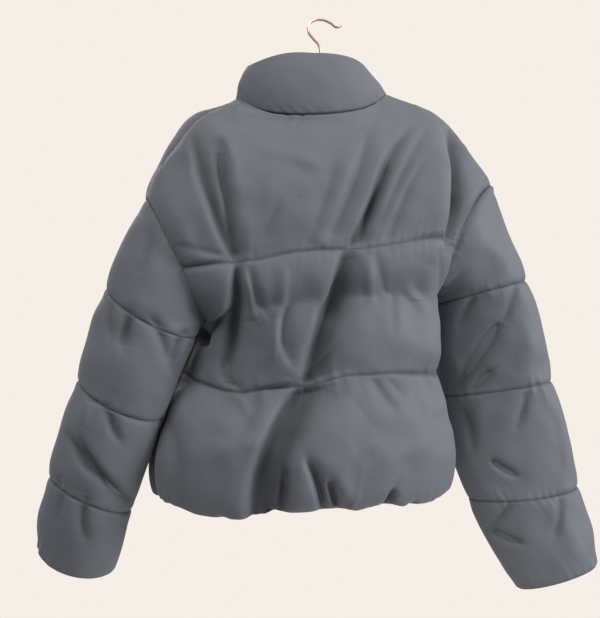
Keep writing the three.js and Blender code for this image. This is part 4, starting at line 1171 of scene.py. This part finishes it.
def hanger_paths():
    """The hook and the bent wire under it, as points."""
    hook = np.stack([HOOK["x"], np.zeros(len(HOOK["x"])), HOOK["z"]], -1)

    def arm(rows, neck, reach):
        x = lerp(neck, reach, np.array([0, 0.3, 0.65, 1]))
        order = np.argsort(rows["x"])
        ranked = {key: column[order] for key, column in rows.items()}
        return np.stack([x, np.full(4, HANGER["y"]), smooth(ranked, "x", x, "z") - HANGER["drop"]], -1)

    right, left = arm(SHOULDER_RIGHT, -98, HANGER["right"]), arm(SHOULDER_LEFT, 126, HANGER["left"])
    y, bar = HANGER["y"], HANGER["bar"]
    wire = np.concatenate([
        [[-1, 1, HANGER["neck"]], [-34, 2, HANGER["neck"] - 22]],
        right,
        [
            [HANGER["right"] - 1, y, right[-1, 2] - HANGER["bend"]], [HANGER["right"] + HANGER["bend"], y, bar],
            [0, y, bar - HANGER["sag"]],
            [HANGER["left"] - HANGER["bend"], y, bar], [HANGER["left"] + 1, y, left[-1, 2] - HANGER["bend"]],
        ],
        left[::-1],
        [[38, 2, HANGER["neck"] - 24], [5, 1, HANGER["neck"]]],
    ])
    return hook, wire


def bent_wire(name, points, radius):
    """A round wire bent along points, with its ends closed flat."""
    bpy.ops.curve.primitive_nurbs_path_add()
    made = bpy.context.object
    made.name = made.data.name = name
    made.data.splines.clear()
    spline = made.data.splines.new("BEZIER")
    spline.bezier_points.add(len(points) - 1)
    for knot, point in zip(spline.bezier_points, points * MM):
        knot.co = point
        knot.handle_left_type = knot.handle_right_type = "AUTO"
    made.data.dimensions = "3D"
    made.data.bevel_depth = radius * MM
    made.data.bevel_resolution = 4
    made.data.use_fill_caps = True
    made.data.resolution_u = 10
    pick(made)
    bpy.ops.object.convert(target="MESH")
    bpy.ops.object.shade_smooth_by_angle(angle=math.radians(50))
    return made


# Settings a user would change.


def length(name, description, default):
    return bpy.props.FloatProperty(name=name, description=description, default=default, unit="LENGTH")


def colour(name, description, default):
    return bpy.props.FloatVectorProperty(
        name=name, description=description, subtype="COLOR", default=default, min=0, max=1
    )


class JacketSizes(bpy.types.PropertyGroup):
    """Sizes of the padding and how far its cloth is filled."""

    body_puff: length("Body padding", "Height of the middle and upper channels", 0.015)
    hem_puff: length("Hem padding", "Height of the lowest channel", 0.018)
    sleeve_puff: length("Sleeve padding", "Height of the sleeves' channels", 0.007)
    collar_puff: length("Collar padding", "Height of the collar's padding", 0.012)
    cap: length("Most movement", "Most that filling moves any point of the cloth", 0.005)
    growth: bpy.props.FloatProperty(
        name="Spare cloth", description="Share of cloth that is gathered in beyond the form",
        default=0.012, subtype="FACTOR",
    )
    pressure: bpy.props.FloatProperty(
        name="Filling", description="Pressure of the padding on the cloth", default=4.0
    )


class JacketLook(bpy.types.PropertyGroup):
    """Colours of the jacket's finishes."""

    shell: colour("Shell", "Colour of the padded cloth", (0.105, 0.112, 0.128))
    tape: colour("Zip tape", "Colour of the zip's tape and thread", (0.06, 0.064, 0.074))
    metal: colour("Zip metal", "Colour of the slider and teeth", (0.27, 0.275, 0.29))
    wire: colour("Hanger wire", "Colour of the plated hanger", (0.95, 0.6, 0.48))


class JACKET_OT_body(bpy.types.Operator):
    """Make the back and the two fronts"""

    bl_idname = "jacket.body"
    bl_label = "Back and fronts"

    def execute(self, context):
        scene = context.scene
        for name in BODY_SPANS:
            finish_cloth(body_panel(name, scene.jacket_sizes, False), name, scene.jacket_look)
        return {"FINISHED"}


class JACKET_OT_sleeves(bpy.types.Operator):
    """Make the two sleeves"""

    bl_idname = "jacket.sleeves"
    bl_label = "Sleeves"

    def execute(self, context):
        scene = context.scene
        for arm in ARMHOLES:
            finish_cloth(sleeve_piece(arm, scene.jacket_sizes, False), "sleeve_" + arm, scene.jacket_look)
        return {"FINISHED"}


class JACKET_OT_collar(bpy.types.Operator):
    """Make the stand collar"""

    bl_idname = "jacket.collar"
    bl_label = "Collar"

    def execute(self, context):
        scene = context.scene
        finish_cloth(collar_piece(scene.jacket_sizes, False), "collar", scene.jacket_look)
        return {"FINISHED"}


class JACKET_OT_zip(bpy.types.Operator):
    """Finish the zip's tapes, slider and pull, and add its teeth"""

    bl_idname = "jacket.zip"
    bl_label = "Zip"

    def execute(self, context):
        look = context.scene.jacket_look
        metal = plated_metal("zip_metal", look.metal, 0.3)
        tape = tape_cloth("zip_tape_cloth", look.tape)
        for node in ("zip_slider", "zip_pull"):
            dress(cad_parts[node], metal)
        for node in ("zip_tape_left", "zip_tape_right"):
            dress(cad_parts[node], tape)
        line, facing = zip_line(240)
        way = unit(np.gradient(line, axis=0))
        hand = np.where(np.arange(len(line)) % 2, 1.0, -1.0)[:, None]
        across = unit(np.cross(way, facing)) * hand
        teeth = repeated("zip_teeth", tooth(), line + across * 0.9 - facing * 0.2, across, facing, way)
        pick(teeth)
        bpy.ops.object.mode_set(mode="EDIT")
        bpy.ops.mesh.select_all(action="SELECT")
        bpy.ops.mesh.normals_make_consistent(inside=False)
        bpy.ops.object.mode_set(mode="OBJECT")
        dress(teeth, metal)
        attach(teeth, "jacket")
        return {"FINISHED"}


class JACKET_OT_stitching(bpy.types.Operator):
    """Sew the quilting lines"""

    bl_idname = "jacket.stitching"
    bl_label = "Stitching"

    def execute(self, context):
        origins, ways, outs = stitch_rows()
        thread = repeated("quilting_thread", stitch(), origins, ways, np.cross(outs, ways), outs)
        dress(thread, thread_cloth("sewing_thread", context.scene.jacket_look.tape))
        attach(thread, "jacket")
        return {"FINISHED"}


class JACKET_OT_hanger(bpy.types.Operator):
    """Bend the wire hanger"""

    bl_idname = "jacket.hanger"
    bl_label = "Hanger"

    def execute(self, context):
        plated = plated_metal("rose_gold_wire", context.scene.jacket_look.wire, 0.3)
        hook, wire = hanger_paths()
        pieces = [bent_wire("hanger_hook", hook, 1.8), bent_wire("hanger_wire", wire, 1.8)]
        pick(pieces[0])
        pieces[1].select_set(True)
        bpy.ops.object.join()
        made = pieces[0]
        made.name = "hanger_plated"
        dress(made, plated)
        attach(made, "jacket")
        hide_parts("hanger")
        return {"FINISHED"}


class JACKET_OT_stage(bpy.types.Operator):
    """Set the floor, the light and the camera"""

    bl_idname = "jacket.stage"
    bl_label = "Stage"

    def execute(self, context):
        scene = context.scene
        bpy.ops.mesh.primitive_circle_add(vertices=64, radius=0.52, fill_type="NGON", location=(0, 0, -1.06))
        floor = context.object
        floor.name = "floor"
        paint = Paint("pale_floor")
        grain = paint.noise(paint.place(False), 30.0, 2.0)
        dress(floor, paint.finish(
            Base_Color=paint.mix(grain, (0.78, 0.75, 0.71, 1), (0.83, 0.8, 0.76, 1)), Roughness=0.7
        ))
        world = bpy.data.worlds.new("pale_room")
        scene.world = world
        world.use_nodes = True
        tree = world.node_tree
        room = tree.nodes["Background"]
        room.inputs["Color"].default_value = (0.9, 0.93, 1.0, 1)
        room.inputs["Strength"].default_value = 0.32
        seen = tree.nodes.new("ShaderNodeBackground")
        seen.inputs["Color"].default_value = (0.92, 0.86, 0.8, 1)
        seen.inputs["Strength"].default_value = 1.0
        either = tree.nodes.new("ShaderNodeMixShader")
        path = tree.nodes.new("ShaderNodeLightPath")
        tree.links.new(path.outputs["Is Camera Ray"], either.inputs["Fac"])
        tree.links.new(room.outputs[0], either.inputs[1])
        tree.links.new(seen.outputs[0], either.inputs[2])
        tree.links.new(either.outputs[0], tree.nodes["World Output"].inputs["Surface"])
        for name, place, size, power, colour in (
            ("window", (-2.4, 1.1, 0.1), 1.2, 72, (0.97, 0.985, 1.0)),
            ("ceiling", (0.9, 1.5, 1.8), 1.4, 58, (1.0, 0.985, 0.96)),
            ("behind", (0.6, -2.2, 0.8), 1.6, 24, (1.0, 0.97, 0.93)),
        ):
            bpy.ops.object.light_add(type="AREA", location=place)
            light = context.object
            light.name = name
            light.data.size, light.data.energy, light.data.color = size, power, colour
            light.rotation_euler = (Vector((0, 0, -0.45)) - Vector(place)).to_track_quat("-Z", "Y").to_euler()
        azimuth, distance, target = math.radians(172), 1.65, Vector((0.0312, -0.0044, -0.432))
        back = Vector((math.sin(azimuth), -math.cos(azimuth), 0))
        bpy.ops.object.camera_add(location=target + back * distance)
        camera = context.object
        camera.rotation_euler = (-back).to_track_quat("-Z", "Y").to_euler()
        camera.data.sensor_width, camera.data.lens = 36, 64.08
        scene.camera = camera
        scene.view_settings.view_transform = "Standard"
        return {"FINISHED"}


class JACKET_PT_panel(bpy.types.Panel):
    """Lists the jacket's pieces"""

    bl_idname = "JACKET_PT_panel"
    bl_label = "Puffer jacket"
    bl_space_type = "VIEW_3D"
    bl_region_type = "UI"
    bl_category = "Jacket"

    def draw(self, context):
        for group in (context.scene.jacket_sizes, context.scene.jacket_look):
            for name in group.__annotations__:
                self.layout.prop(group, name)
        for operator in OPERATORS:
            self.layout.operator(operator.bl_idname)


OPERATORS = (
    JACKET_OT_body, JACKET_OT_sleeves, JACKET_OT_collar, JACKET_OT_zip, JACKET_OT_stitching, JACKET_OT_hanger,
    JACKET_OT_stage,
)
CLASSES = (JacketSizes, JacketLook, *OPERATORS, JACKET_PT_panel)


def register():
    for one in CLASSES:
        bpy.utils.register_class(one)
    bpy.types.Scene.jacket_sizes = bpy.props.PointerProperty(type=JacketSizes)
    bpy.types.Scene.jacket_look = bpy.props.PointerProperty(type=JacketLook)


def unregister():
    del bpy.types.Scene.jacket_look
    del bpy.types.Scene.jacket_sizes
    for one in reversed(CLASSES):
        bpy.utils.unregister_class(one)


def main():
    register()
    bpy.ops.jacket.body()
    bpy.ops.jacket.sleeves()
    bpy.ops.jacket.collar()
    bpy.ops.jacket.zip()
    bpy.ops.jacket.stitching()
    bpy.ops.jacket.hanger()
    bpy.ops.jacket.stage()


if __name__ == "__main__":
    main()
